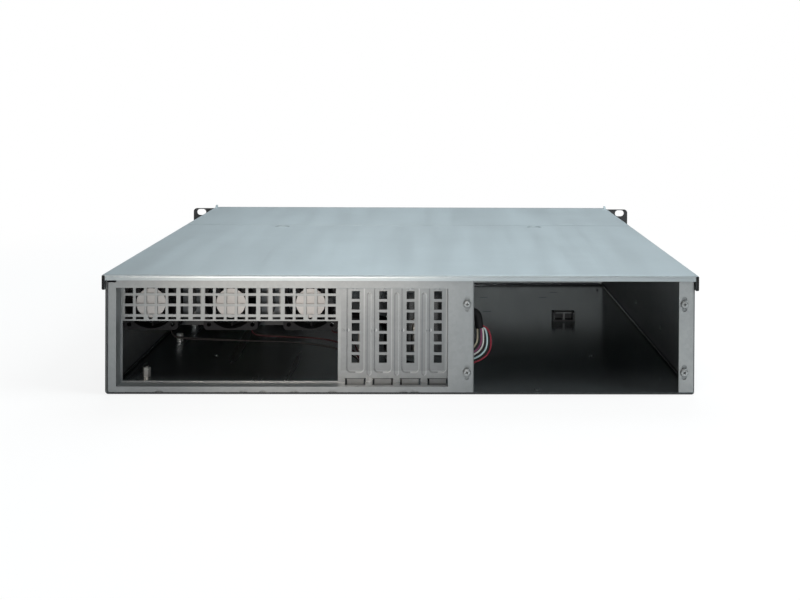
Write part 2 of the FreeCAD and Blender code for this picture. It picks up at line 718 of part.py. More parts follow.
def panel_cuts(x_out, foot):
    io = block(IO_X - IO_W / 2, IO_X + IO_W / 2, PLATE_IN, PLATE_OUT, IO_Z, IO_Z + IO_H)
    tools = [io] + grille_holes()
    tools += [slot_opening(x) for x in slot_centres()]
    tools += [tongue_slot(x) for x in slot_centres()]
    tools += [rib(x, False) for x in rib_centres()]
    for x, z in psu_screw_places()[:2]:
        tools.append(slot_y(x, z, PSU_SLOT_R, PSU_SLOT_L, Y_REAR - SHEET, Y_REAR))
    for x, y in slot_screw_places():
        tools.append(rod(M3_R + HOLE_SLACK, V(x, y, RECESS_Z1), V(x, y, RECESS_Z1 + SHEET)))
    for place in NOTCH_PLACES:
        x = X_WALL - place
        left = V(x - NOTCH_W / 2, Y_REAR - SHEET, foot)
        right = V(x + NOTCH_W / 2, Y_REAR - SHEET, foot)
        arch = Part.Arc(left, V(x, Y_REAR - SHEET, foot + NOTCH_H), right).toShape()
        outline = Part.Wire([arch, Part.LineSegment(right, left).toShape()])
        tools.append(Part.Face(outline).extrude(V(0, SHEET, 0)))
    tools.append(block(x_out - CORNER_NOTCH_W, X_WALL, Y_REAR - RIM_FOLD, Y_REAR,
                       PANEL_TOP - CORNER_NOTCH_H, PANEL_TOP))
    tools.append(block(x_out - FOOT_RELIEF, X_WALL, Y_REAR - RIM_FOLD, Y_REAR, foot, foot + FOOT_RELIEF))
    return tools


# ---- slot covers -----------------------------------------------------------------
def slot_screw_places():
    return [(x, PLATE_IN + SLOT_SCREW_IN) for x in slot_centres()]


def slot_cover(x):
    tab_z = RECESS_Z1 + SHEET
    y0 = PLATE_IN - COVER_T
    half = COVER_W / 2
    plate = block(x - half, x + half, y0, PLATE_IN, COVER_FOOT_Z, tab_z + COVER_T)
    tongue = block(x - TONGUE_W / 2, x + TONGUE_W / 2, y0, PLATE_IN, TONGUE_Z, COVER_FOOT_Z)
    tab = block(x - half, x + half, PLATE_IN, PLATE_IN + TAB_D, tab_z, tab_z + COVER_T)
    body = union([plate, tongue, tab])
    side = HOLE / 2
    tools = []
    for k in range(VENTS):
        z = VENT_TOP_Z - VENT_PITCH * k
        tools.append(block(x - side, x + side, y0, PLATE_IN, z - side, z + side))
    y = PLATE_IN + SLOT_SCREW_IN
    r = M3_R + 2 * HOLE_SLACK
    tools.append(rod(r, V(x, y, tab_z), V(x, y, tab_z + COVER_T)))
    tools.append(block(x - r, x + r, y, PLATE_IN + TAB_D, tab_z, tab_z + COVER_T))
    return cut(body, tools)


def slot_screws():
    seat = RECESS_Z1 + SHEET + COVER_T
    return [pan_screw(V(x, y, seat), V(0, 0, 1), SLOT_SCREW_L) for x, y in slot_screw_places()]


# ---- power supply fixings --------------------------------------------------------
def psu_screws():
    return [pan_screw(V(x, Y_REAR, z), V(0, 1, 0), PSU_SCREW_L) for x, z in psu_screw_places()]


def psu_nut_plate(x):
    z0 = PSU_SCREW_Z - NUT_MARGIN
    z1 = PSU_SCREW_Z + PSU_SCREW_RISE + NUT_MARGIN
    y1 = Y_REAR - SHEET
    plate = block(x - NUT_W / 2, x + NUT_W / 2, y1 - NUT_T, y1, z0, z1)
    r = M3_R + FIT_SLACK
    holes = [rod(r, V(x, y1 - NUT_T, z), V(x, y1, z)) for z in (PSU_SCREW_Z, PSU_SCREW_Z + PSU_SCREW_RISE)]
    return cut(plate, holes)


# ---- covers ----------------------------------------------------------------------
def cover_shell(y0, y1):
    """A flat top with doubled lower edges down both sides."""
    x_out = X_WALL + HEM_GAP + HEM_T
    x_in = X_WALL + HEM_GAP
    top = block(-x_out, x_out, y0, y1, Z_RIM, CASE_H)
    hems = [block(x_in, x_out, y0, y1, CASE_H - HEM_H, Z_RIM),
            block(-x_out, -x_in, y0, y1, CASE_H - HEM_H, Z_RIM)]
    shell = union([top] + hems)
    upper = []
    lower = []
    for edge in shell.Edges:
        box = edge.BoundBox
        if box.YLength < (y1 - y0) * 0.9 or abs(abs(box.XMin) - x_out) > 0.01:
            continue
        if abs(box.ZMin - CASE_H) < 0.01:
            upper.append(edge)
        else:
            lower.append(edge)
    return shell.makeFillet(COVER_SHEET, upper + lower)


def catch(side):
    """Half-moon thumb catch: the tools that open it and the tongue that it leaves."""
    x = side * CATCH_X
    y = SEAM_Y + CATCH_BEHIND_SEAM
    disc = Part.makeCylinder(CATCH_R, 10.0, V(x, y, Z_RIM - 5.0))
    half = disc.common(block(x - CATCH_R, x + CATCH_R, y - CATCH_R, y, Z_RIM - 5.0, CASE_H + 5.0))
    floor = Z_RIM - CATCH_DROP
    profile = Part.Face(Part.makePolygon([
        V(x - CATCH_R, y - CATCH_R, Z_RIM), V(x - CATCH_R, y, floor), V(x - CATCH_R, y, floor + COVER_SHEET),
        V(x - CATCH_R, y - CATCH_R, CASE_H), V(x - CATCH_R, y - CATCH_R, Z_RIM)]))
    ramp = profile.extrude(V(2 * CATCH_R, 0, 0)).common(half)
    return half, ramp


def lid():
    y0 = SEAM_Y + SEAM_GAP
    y1 = Y_REAR + LIP_GAP + COVER_SHEET
    shell = cover_shell(y0, y1)
    lip_x = X_WALL + HEM_GAP - SLACK
    lip = block(-lip_x, lip_x, y1 - COVER_SHEET, y1, CASE_H - LIP_H, Z_RIM)
    x_tongue = X_WALL - RIM_W - TONGUE_SIDE
    tongue = block(-x_tongue, x_tongue, y0 - TONGUE_L, y0 + TONGUE_LAP, Z_RIM - COVER_SHEET, Z_RIM)
    catches = [catch(side) for side in (-1, 1)]
    body = union([shell, lip, tongue])
    x_out = X_WALL + HEM_GAP + HEM_T
    corner = block(-x_out, x_out, y1 - LIP_R, y1, CASE_H - LIP_R, CASE_H)
    roll = rod(LIP_R, V(-x_out, y1 - LIP_R, CASE_H - LIP_R), V(x_out, y1 - LIP_R, CASE_H - LIP_R))
    body = body.cut(corner.cut(roll))
    body = cut(body, [half for half, ramp in catches])
    return union([body] + [ramp for half, ramp in catches])


def front_cover():
    shell = cover_shell(Y_FRONT, SEAM_Y)
    x1 = X_WALL + HEM_GAP + HEM_T - COVER_SHEET
    lugs = []
    for side in (-1, 1):
        foot = V(side * x1, Y_FRONT, CASE_H)
        outline = Part.makePolygon([foot, foot + V(0, LUG_L, 0), foot + V(0, LUG_L * 0.35, LUG_H),
                                    foot + V(0, 0, LUG_H), foot])
        lugs.append(Part.Face(outline).extrude(V(-side * 2 * COVER_SHEET, 0, 0)))
    shell = union([shell] + lugs)
    tools = []
    x_out = X_WALL + HEM_GAP + HEM_T
    for side in (-1, 1):
        for y, z in cover_screw_places():
            tools.append(sink(V(side * x_out, y, z), V(side, 0, 0), HEM_T))
    return cut(shell, tools)


def cover_screws():
    x = X_WALL + HEM_GAP + HEM_T
    return [flat_screw(V(side * x, y, z), V(side, 0, 0), COVER_SCREW_L)
            for side in (-1, 1) for y, z in cover_screw_places()]


# ---- front panel, ears and handles -----------------------------------------------
def front_panel():
    plate = rounded_block(-X_WALL, X_WALL, FRONT_Y, Y_FRONT, FRONT_Z0, CASE_H, 1.0, V(0, 1, 0))
    tools = []
    middle = WINDOW_SILL + WINDOW_H / 2
    offset = (AIR_H + AIR_GAP_Z) / 2
    for k in range(AIR_COUNT):
        x = AIR_X0 + AIR_PITCH * k
        for z in (middle - offset, middle + offset):
            tools.append(block(x - AIR_W / 2, x + AIR_W / 2, FRONT_Y, Y_FRONT, z - AIR_H / 2, z + AIR_H / 2))
    for radius, z in ((POWER_R, POWER_Z), (RESET_R, RESET_Z)):
        tools.append(rod(radius + 2 * FIT_SLACK, V(CONTROL_X, FRONT_Y, z), V(CONTROL_X, Y_FRONT, z)))
    for x, z in lamp_places():
        tools.append(rod(LAMP_R + HOLE_SLACK, V(x, FRONT_Y, z), V(x, Y_FRONT, z)))
    for z in USB_Z:
        w = USB_W / 2 + SLACK
        h = USB_H / 2 + SLACK
        tools.append(block(CONTROL_X - w, CONTROL_X + w, FRONT_Y, Y_FRONT, z - h, z + h))
    for x, z in panel_screw_places():
        tools.append(sink(V(x, FRONT_Y, z), V(0, -1, 0), FRONT_T))
    return cut(plate, tools)


def panel_screws():
    return [flat_screw(V(x, FRONT_Y, z), V(0, -1, 0), EAR_SCREW_L) for x, z in panel_screw_places()]


def rack_ear():
    """The ear on the +X side: a folded L with its leg along the side wall."""
    x_in = X_WALL + EAR_GAP
    x_out = RACK_W / 2
    plate = block(x_in, x_out, FRONT_Y, Y_FRONT, FRONT_Z0, EAR_H)
    edges = [e for e in plate.Edges
             if abs(e.tangentAt(e.FirstParameter).y) > 0.99 and abs(e.BoundBox.XMin - x_out) < 0.01]
    plate = plate.makeFillet(EAR_R, edges)
    leg = block(X_WALL, X_WALL + FRONT_T, Y_FRONT, Y_FRONT + EAR_LEG, EAR_LEG_Z0, EAR_LEG_Z1)
    ear = union([plate, leg])
    tools = []
    for z in (EIA_MID_Z - RACK_RISE / 2, EIA_MID_Z + RACK_RISE / 2):
        tools.append(slot_y(RACK_SPAN / 2, z, RACK_SLOT_R, RACK_SLOT_L, FRONT_Y, Y_FRONT, False))
    for y, z in ear_screw_places():
        tools.append(sink(V(X_WALL + FRONT_T, y, z), V(1, 0, 0), FRONT_T))
    for z in handle_feet():
        tools.append(rod(M4_R + HOLE_SLACK, V(HANDLE_X, FRONT_Y, z), V(HANDLE_X, Y_FRONT, z)))
    return cut(ear, tools)


def handle_feet():
    return (EIA_MID_Z - HANDLE_SPAN / 2, EIA_MID_Z + HANDLE_SPAN / 2)


def handle():
    """A bent round bar with a tapped blind hole in each foot."""
    low, high = handle_feet()
    y_far = FRONT_Y - HANDLE_REACH + HANDLE_R
    corners = [V(HANDLE_X, FRONT_Y, low), V(HANDLE_X, y_far, low), V(HANDLE_X, y_far, high),
               V(HANDLE_X, FRONT_Y, high)]
    first = Part.LineSegment(corners[0], corners[1] + V(0, HANDLE_BEND, 0)).toShape()
    bend = HANDLE_BEND * (1 - math.sqrt(0.5))
    arc_low = Part.Arc(corners[1] + V(0, HANDLE_BEND, 0), corners[1] + V(0, bend, bend),
                       corners[1] + V(0, 0, HANDLE_BEND)).toShape()
    middle = Part.LineSegment(corners[1] + V(0, 0, HANDLE_BEND), corners[2] - V(0, 0, HANDLE_BEND)).toShape()
    arc_high = Part.Arc(corners[2] - V(0, 0, HANDLE_BEND), corners[2] + V(0, bend, -bend),
                        corners[2] + V(0, HANDLE_BEND, 0)).toShape()
    last = Part.LineSegment(corners[2] + V(0, HANDLE_BEND, 0), corners[3]).toShape()
    path = Part.Wire([first, arc_low, middle, arc_high, last])
    ring = Part.Wire([Part.Circle(corners[0], V(0, -1, 0), HANDLE_R).toShape()])
    bar = path.makePipeShell([ring], True, True)
    r = M4_R + FIT_SLACK
    holes = [rod(r, V(HANDLE_X, FRONT_Y, z), V(HANDLE_X, FRONT_Y - HANDLE_BORE, z)) for z in (low, high)]
    return cut(bar, holes)


def handle_screws():
    rearward = V(0, 1, 0)
    return [pan_screw(V(side * HANDLE_X, Y_FRONT, z), rearward, HANDLE_SCREW_L, M4_R, M4_HEAD_R, M4_HEAD_H)
            for side in (-1, 1) for z in handle_feet()]


def ear_screws():
    x = X_WALL + FRONT_T
    return [flat_screw(V(side * x, y, z), V(side, 0, 0), EAR_SCREW_L)
            for side in (-1, 1) for y, z in ear_screw_places()]


# ---- front controls --------------------------------------------------------------
def lamp_places():
    return [(CONTROL_X + LAMP_DX, POWER_Z), (CONTROL_X + LAMP_DX, RESET_Z)]


def button(z, radius):
    """A button cap with a retaining flange behind the panel and a stem to its switch."""
    rest = Y_FRONT + FIT_SLACK
    cap = rod(radius, V(CONTROL_X, FRONT_Y - BUTTON_PROUD, z), V(CONTROL_X, rest, z))
    rim = [e for e in cap.Edges if abs(e.BoundBox.YMax - FRONT_Y + BUTTON_PROUD) < 0.01]
    cap = cap.makeFillet(0.5, rim)
    flange = rod(radius + BUTTON_FLANGE, V(CONTROL_X, rest, z), V(CONTROL_X, rest + 1.0, z))
    tip = PCB_Y0 - SWITCH_T - BUTTON_TRAVEL - SLACK
    stem = rod(STEM_R, V(CONTROL_X, rest + 1.0, z), V(CONTROL_X, tip, z))
    return union([cap, flange, stem])


def status_lights():
    lamps = []
    for x, z in lamp_places():
        tip = FRONT_Y - 0.3
        lamp = rod(LAMP_R, V(x, PCB_Y0, z), V(x, tip, z))
        rim = [e for e in lamp.Edges if abs(e.BoundBox.YMax - tip) < 0.01]
        lamps.append(lamp.makeFillet(LAMP_R * 0.6, rim))
    return lamps


def tact_switches():
    half = SWITCH_L / 2
    return [block(CONTROL_X - half, CONTROL_X + half, PCB_Y0 - SWITCH_T, PCB_Y0, z - half, z + half)
            for z in (POWER_Z, RESET_Z)]


def usb_port(z):
    w = USB_W / 2
    h = USB_H / 2
    shell = block(CONTROL_X - w, CONTROL_X + w, FRONT_Y, PCB_Y0, z - h, z + h)
    hollow = block(CONTROL_X - w + USB_WALL, CONTROL_X + w - USB_WALL, FRONT_Y, PCB_Y0 - USB_WALL,
                   z - h + USB_WALL, z + h - USB_WALL)
    tongue = block(CONTROL_X - w + 1.0, CONTROL_X + w - 1.0, FRONT_Y + 1.0, PCB_Y0 - USB_WALL,
                   z + h - 1.0 - USB_TONGUE, z + h - 1.0)
    return union([shell.cut(hollow), tongue])


def control_board():
    half = BOARD_W / 2
    board = block(CONTROL_X - half, CONTROL_X + half, PCB_Y0, PCB_Y1, CONTROL_Z0, CONTROL_Z1)
    holes = [rod(M3_R + HOLE_SLACK, V(px, PCB_Y0, pz), V(px, PCB_Y1, pz)) for px, pz in post_places()]
    return cut(board, holes)


def board_posts():
    wall_in = Y_FRONT + SHEET
    posts = []
    for x, z in post_places():
        post = rod(POST_R, V(x, wall_in, z), V(x, PCB_Y0, z))
        hole = rod(M3_R + FIT_SLACK, V(x, wall_in + POST_BORE_INSET, z), V(x, PCB_Y0, z))
        posts.append(post.cut(hole))
    return posts


def board_screws():
    return [pan_screw(V(x, PCB_Y1, z), V(0, 1, 0), BOARD_SCREW_L) for x, z in post_places()]


# ---- drive cage ------------------------------------------------------------------
def drive_hole_places():
    rows = (DRIVE_HOLE_Z, DRIVE_HOLE_Z + DRIVE_PITCH)
    y = CAGE_Y0 + DRIVE_HOLE_Y
    return [(hole_y, z) for hole_y in (y, y + DRIVE_HOLE_STEP) for z in rows]


def drive_cage():
    x_in = CAGE_IN_W / 2
    x_out = x_in + SHEET
    y1 = CAGE_Y0 + CAGE_L
    top = Z_FLOOR + CAGE_H
    outer = rounded_block(CAGE_X - x_out, CAGE_X + x_out, CAGE_Y0, y1, Z_FLOOR - 5.0, top,
                          BEND_R + SHEET, V(0, 1, 0))
    inner = rounded_block(CAGE_X - x_in, CAGE_X + x_in, CAGE_Y0, y1, Z_FLOOR - 10.0, top - SHEET,
                          BEND_R, V(0, 1, 0))
    under = block(CAGE_X - x_out, CAGE_X + x_out, CAGE_Y0, y1, Z_FLOOR - 10.0, Z_FLOOR)
    body = outer.cut(inner).cut(under)
    feet = []
    for side in (-1, 1):
        a = CAGE_X + side * x_out
        b = a + side * CAGE_FOOT
        feet.append(block(min(a, b), max(a, b), CAGE_Y0, y1, Z_FLOOR, Z_FLOOR + SHEET))
    body = union([body] + feet)
    tools = []
    for y, z in drive_hole_places():
        half = DRIVE_SLOT_L / 2 - DRIVE_HOLE_R
        zc = Z_FLOOR + z
        for side in (-1, 1):
            a = CAGE_X + side * x_in
            b = CAGE_X + side * x_out
            lo, hi = min(a, b), max(a, b)
            tools.append(block(lo, hi, y - half, y + half, zc - DRIVE_HOLE_R, zc + DRIVE_HOLE_R))
            tools += [rod(DRIVE_HOLE_R, V(lo, y + s, zc), V(hi, y + s, zc)) for s in (-half, half)]
    vent = CAGE_IN_W / 2 - CAGE_VENT_EDGE
    tools.append(block(CAGE_X - vent, CAGE_X + vent, CAGE_Y0 + CAGE_VENT_EDGE, y1 - CAGE_VENT_EDGE,
                       top - SHEET, top))
    for x, y in cage_screw_places():
        tools.append(rod(M3_R + FIT_SLACK, V(x, y, Z_FLOOR), V(x, y, Z_FLOOR + SHEET)))
    return cut(body, tools)


def cage_screws():
    seat = Z_FLOOR + SHEET
    return [pan_screw(V(x, y, seat), V(0, 0, 1), seat) for x, y in cage_screw_places()]


# ---- fans ------------------------------------------------------------------------
def fan_corners(x):
    return [(x + sx * FAN_HOLE, FAN_Z + sz * FAN_HOLE) for sx in (-1, 1) for sz in (-1, 1)]


def fan_frame(x):
    half = FAN / 2
    shell = rounded_block(x - half, x + half, FAN_Y0, FAN_Y1, FAN_Z - half, FAN_Z + half, FAN_CORNER_R,
                          V(0, 1, 0))
    axis = V(0, 1, 0)
    tools = [Part.makeCylinder(FAN_BORE_R, FAN_T, V(x, FAN_Y0, FAN_Z), axis)]
    tools += [Part.makeCylinder(FAN_HOLE_R, FAN_T, V(cx, FAN_Y0, cz), axis) for cx, cz in fan_corners(x)]
    shell = cut(shell, tools)
    y1 = FAN_Y1 - MOTOR_INSET
    y0 = y1 - MOTOR_T
    motor = Part.makeCylinder(MOTOR_R, MOTOR_T, V(x, y0, FAN_Z), axis)
    bearing = Part.makeCylinder(BEARING_R, BEARING_L, V(x, y0 - BEARING_L, FAN_Z), axis)
    struts = []
    for k in range(STRUTS):
        bar = block(MOTOR_R - 1.0, FAN_BORE_R + 0.5, y0, y1, -STRUT_W / 2, STRUT_W / 2)
        bar.rotate(V(0, 0, 0), V(0, 1, 0), 45.0 + 360.0 / STRUTS * k)
        bar.translate(V(x, 0, FAN_Z))
        struts.append(bar)
    body = union([shell, motor, bearing] + struts)
    shaft_hole = Part.makeCylinder(M3_R + FIT_SLACK, BEARING_L + 1.5, V(x, y0 - BEARING_L, FAN_Z), axis)
    return body.cut(shaft_hole)


def blade(radius_in, radius_out, length):
    """One twisted blade about the Y axis: the pitch grows towards the tip."""
    sections = []
    for radius, pitch in ((radius_in, BLADE_ROOT_DEG), (radius_out, BLADE_TIP_DEG)):
        lean = math.tan(math.radians(pitch)) * length / 2 * 0.55
        t = BLADE_T / 2
        points = [V(radius, -length / 2, -lean - t), V(radius, -length / 2, -lean + t),
                  V(radius, length / 2, lean + t), V(radius, length / 2, lean - t)]
        sections.append(Part.makePolygon(points + [points[0]]))
    return Part.makeLoft(sections, True, True)


def fan_impeller(x):
    motor_face = FAN_Y1 - MOTOR_INSET - MOTOR_T
    y1 = motor_face - HUB_GAP
    y0 = y1 - HUB_L
    axis = V(0, 1, 0)
    hub = Part.makeCylinder(HUB_R, HUB_L, V(0, y0, 0), axis)
    rim = [e for e in hub.Edges if abs(e.BoundBox.YMax - y0) < 0.01]
    hub = hub.makeFillet(1.5, rim)
    hub = hub.cut(Part.makeCylinder(HUB_R - HUB_WALL, HUB_L - HUB_WALL, V(0, y0 + HUB_WALL, 0), axis))
    length = HUB_L - 3.0
    wing = blade(HUB_R - 0.6, FAN_BORE_R - TIP_GAP - 0.6, length)
    wing.translate(V(0, (y0 + y1) / 2, 0))
    blades = []
    for k in range(BLADES):
        copy = wing.copy()
        copy.rotate(V(0, 0, 0), axis, 360.0 / BLADES * k)
        blades.append(copy)
    shaft = Part.makeCylinder(M3_R, HUB_L + HUB_GAP, V(0, y0 + HUB_WALL / 2, 0), axis)
    body = union([hub, shaft] + blades)
    body.translate(V(x, 0, FAN_Z))
    return body


def fan_label(x):
    y = FAN_Y1 - MOTOR_INSET
    return Part.makeCylinder(LABEL_R, LABEL_T, V(x, y, FAN_Z), V(0, 1, 0))


def fan_bracket():
    """Plate that carries the fans: riveted to the side wall and joined to the grille's webs."""
    centres = group_centres()
    half = FAN / 2
    x0 = centres[0] - half - BRACKET_MARGIN
    plate = block(x0, X_IN, BRACKET_Y0, FAN_Y0, FAN_Z - half, FAN_Z + half)
    skirt = block(X_IN - SHEET, X_IN, BRACKET_Y0 - BRACKET_SKIRT, BRACKET_Y0, FAN_Z - half, FAN_Z + half)
    arms = []
    for a, b in zip(centres, centres[1:]):
        x = (a + b) / 2
        arms.append(block(x - SHEET / 2, x + SHEET / 2, FAN_Y0, PLATE_IN, FAN_Z - BRACKET_ARM_DOWN,
                          FAN_Z + BRACKET_ARM_UP))
    body = union([plate, skirt] + arms)
    axis = V(0, 1, 0)
    tools = []
    for x in centres:
        tools.append(Part.makeCylinder(FAN_BORE_R, SHEET, V(x, BRACKET_Y0, FAN_Z), axis))
        for cx, cz in fan_corners(x):
            tools.append(Part.makeCylinder(FAN_HOLE_R, SHEET, V(cx, BRACKET_Y0, cz), axis))
    for y, z in wall_rivet_places():
        tools.append(rod(M3_R + HOLE_SLACK, V(X_IN - SHEET, y, z), V(X_IN, y, z)))
    return cut(body, tools)


def fan_screws():
    screws = []
    for x in group_centres():
        for cx, cz in (fan_corners(x)[0], fan_corners(x)[3]):
            screws.append(pan_screw(V(cx, BRACKET_Y0, cz), V(0, -1, 0), FAN_SCREW_L, M3_R,
                                    FAN_SCREW_HEAD_R, FAN_SCREW_HEAD_H))
    return screws


def rivets():
    """Pop rivets that hold the fan bracket to the side wall."""
    inward = V(-1, 0, 0)
    return [pan_screw(V(X_IN - SHEET, y, z), inward, 2 * SHEET, M3_R, RIVET_HEAD_R, RIVET_HEAD_H)
            for y, z in wall_rivet_places()]


# ---- standoffs -------------------------------------------------------------------
def standoff_places():
    first = PLATE_IN - BOARD_DATUM
    rows = {0: (COL_2, COL_3), ROW_C: (0.0,), ROW_2: (0.0, COL_2, COL_3), ROW_3: (0.0, COL_2, COL_3)}
    return [(BOARD_X - column, first - row) for row, columns in rows.items() for column in columns]


def standoffs():
    posts = []
    corner_r = STANDOFF_AF / math.sqrt(3)
    for x, y in standoff_places():
        ring = []
        for k in range(7):
            turn = math.radians(60 * k)
            ring.append(V(x + corner_r * math.cos(turn), y + corner_r * math.sin(turn), Z_FLOOR))
        hexagon = Part.Face(Part.makePolygon(ring)).extrude(V(0, 0, STANDOFF_TOP - Z_FLOOR))
        hole = Part.makeCylinder(STANDOFF_R, STANDOFF_BORE, V(x, y, STANDOFF_TOP - STANDOFF_BORE))
        posts.append(hexagon.cut(hole))
    return posts


# ---- wiring ----------------------------------------------------------------------
def loop_wire(index):
    """One wire of the loop: up from the boot, over, out past the panel's edge and back to the plug."""
    r = LOOP_R + WIRE_PITCH * index
    corners = [(LOOP_BACK_X + r, BOOT_TOP), (LOOP_BACK_X + r, LOOP_Z + LOOP_CREST + r),
               (LOOP_X - r, LOOP_Z + r), (LOOP_X - r, LOOP_Z - r), (PLUG_X0, LOOP_Z - r)]
    return tube([V(x, LOOP_Y, z) for x, z in corners], WIRE_R)


def harness_loop():
    return [loop_wire(k) for k in range(WIRE_COUNT)]


def harness_plug():
    """The multi-way plug at the wires' ends."""
    span = LOOP_R + (WIRE_COUNT - 1) * WIRE_PITCH
    half = PLUG_W / 2
    return block(PLUG_X0, PLUG_X0 + PLUG_L, LOOP_Y - half, LOOP_Y + half, LOOP_Z - span - PLUG_WALL,
                 LOOP_Z - LOOP_R + PLUG_WALL)


def harness_boot():
    half = (WIRE_COUNT - 1) * WIRE_PITCH / 2 + BOOT_WALL
    return rounded_block(BOOT_X - half, BOOT_X + half, LOOP_Y - BOOT_FRONT, LOOP_Y + BOOT_REAR, Z_FLOOR,
                         BOOT_TOP, BOOT_R, V(0, 0, 1))


def cable_tie():
    """A tie round the lower legs of the loop."""
    x = LOOP_X + TIE_BACK
    low = LOOP_Z - LOOP_R - (WIRE_COUNT - 1) * WIRE_PITCH - WIRE_R - TIE_GAP
    high = LOOP_Z - LOOP_R + WIRE_R + TIE_GAP
    half = WIRE_R + TIE_GAP
    outer = block(x, x + TIE_W, LOOP_Y - half - TIE_T, LOOP_Y + half + TIE_T, low - TIE_T, high + TIE_T)
    inner = block(x, x + TIE_W, LOOP_Y - half, LOOP_Y + half, low, high)
    return outer.cut(inner)


def sleeve_route():
    """From the header plug down to the floor, round the cage and back to the boot."""
    plug_y = PCB_Y1 + HEADER_L
    high = [V(HEADER_X, plug_y, HEADER_Z), V(HEADER_X, plug_y + 19.0, HEADER_Z)]
    low = [V(x, y, SLEEVE_Z) for x, y in SLEEVE_TURNS]
    end = [V(BOOT_X, LOOP_Y - 36.0, SLEEVE_Z), V(BOOT_X, LOOP_Y - BOOT_FRONT, SLEEVE_Z)]
    return high + low + end


def header_plug():
    """Plug on the rear of the control board, where the sleeve starts."""
    return block(HEADER_X - HEADER_W / 2, HEADER_X + HEADER_W / 2, PCB_Y1, PCB_Y1 + HEADER_L,
                 HEADER_Z - HEADER_H / 2, HEADER_Z + HEADER_H / 2)


def lead_route(index):
    """A fan's lead: from its frame's lower edge, past the window, to its plug on the floor."""
    x = group_centres()[index] - FAN / 2 + LEAD_IN
    y = FAN_Y0 + LEAD_SPREAD * (index + 0.6)
    top = FAN_Z - FAN / 2
    run = top - LEAD_DROP - LEAD_STEP * index
    low = Z_FLOOR + FAN_PLUG_H / 2
    return [V(x, y, top), V(x, y, top - 5.0), V(x - 9.0, y, run), V(FAN_PLUG_X + 30.0, y, run - 3.0),
            V(FAN_PLUG_X + 17.0, y, low), V(FAN_PLUG_X, y, low)]


def fan_leads():
    return [tube(lead_route(k), LEAD_R) for k in range(GROUPS)]


def fan_plugs():
    plugs = []
    for k in range(GROUPS):
        y = lead_route(k)[0].y
        half = FAN_PLUG_W / 2
        plugs.append(block(FAN_PLUG_X - FAN_PLUG_L, FAN_PLUG_X, y - half, y + half, Z_FLOOR,
                           Z_FLOOR + FAN_PLUG_H))
    return plugs


def cable_clip():
    """A stick-on clip: a base, two side walls and a back wall, open above."""
    x0, x1 = CLIP_X - CLIP_W / 2, CLIP_X + CLIP_W / 2
    y0, y1 = CLIP_Y - CLIP_D / 2, CLIP_Y + CLIP_D / 2
    top = Z_FLOOR + CLIP_H
    body = block(x0, x1, y0, y1, Z_FLOOR, top)
    channel = block(x0 + CLIP_WALL, x1 - CLIP_WALL, y0 + CLIP_WALL, y1, Z_FLOOR + CLIP_BASE, top)
    return body.cut(channel)


def clip_latch():
    """The clip's T-shaped latch: a stem on the base and a bar between the walls' tops."""
    y1 = CLIP_Y + CLIP_D / 2 - LATCH_T
    y0 = y1 - LATCH_T
    top = Z_FLOOR + CLIP_H
    half = LATCH_STEM / 2
    bar = block(CLIP_X - LATCH_W / 2, CLIP_X + LATCH_W / 2, y0, y1, top - LATCH_T, top)
    stem = block(CLIP_X - half, CLIP_X + half, y0, y1, Z_FLOOR + CLIP_BASE, top - LATCH_T)
    return union([bar, stem])


# ---- build -----------------------------------------------------------------------
def parts():
    nodes = {
        "chassis_tray": chassis_tray(),
        "rear_panel": rear_panel(),
        "lid": lid(),
        "front_cover": front_cover(),
        "front_panel": front_panel(),
        "rack_ear_right": rack_ear(),
        "rack_ear_left": mirror_x(rack_ear()),
        "handle_right": handle(),
        "handle_left": mirror_x(handle()),
        "handle_screws": handle_screws(),
        "ear_screws": ear_screws(),
        "cover_screws": cover_screws(),
        "panel_screws": panel_screws(),
        "slot_screws": slot_screws(),
        "psu_screws": psu_screws(),
        "psu_nut_plate_inner": psu_nut_plate(BAY_X1 + PSU_INSET),
        "psu_nut_plate_outer": psu_nut_plate(BAY_X0 - PSU_STRIP_INSET),
        "standoffs": standoffs(),
        "rail_studs": rail_studs(),
        "fan_bracket": fan_bracket(),
        "fan_screws": fan_screws(),
        "fan_rivets": rivets(),
        "fan_labels": [fan_label(x) for x in group_centres()],
        "power_button": button(POWER_Z, POWER_R),
        "reset_button": button(RESET_Z, RESET_R),
        "status_lights": status_lights(),
        "tact_switches": tact_switches(),
        "control_board": control_board(),
        "board_posts": board_posts(),
        "board_screws": board_screws(),
        "header_plug": header_plug(),
        "drive_cage": drive_cage(),
        "cage_screws": cage_screws(),
        "harness_sleeve": tube(sleeve_route(), SLEEVE_R),
        "harness_loop": harness_loop(),
        "harness_plug": harness_plug(),
        "harness_boot": harness_boot(),
        "harness_tie": cable_tie(),
        "fan_leads": fan_leads(),
        "fan_plugs": fan_plugs(),
        "cable_clip": cable_clip(),
        "clip_latch": clip_latch(),
    }
    for k, x in enumerate(slot_centres(), 1):
        nodes[f"slot_cover_{k}"] = slot_cover(x)
    for k, x in enumerate(group_centres(), 1):
        nodes[f"fan_frame_{k}"] = fan_frame(x)
        nodes[f"fan_impeller_{k}"] = fan_impeller(x)
    for name, z in zip(("usb_port_lower", "usb_port_upper"), USB_Z):
        nodes[name] = usb_port(z)
    return nodes


os.makedirs("parts", exist_ok=True)
for node, shape in parts().items():
    solid = Part.Compound(shape) if isinstance(shape, list) else shape
    solid.exportStep(f"parts/{node}.step")
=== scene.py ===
import bmesh
import bpy
import math
from mathutils import Matrix, Vector


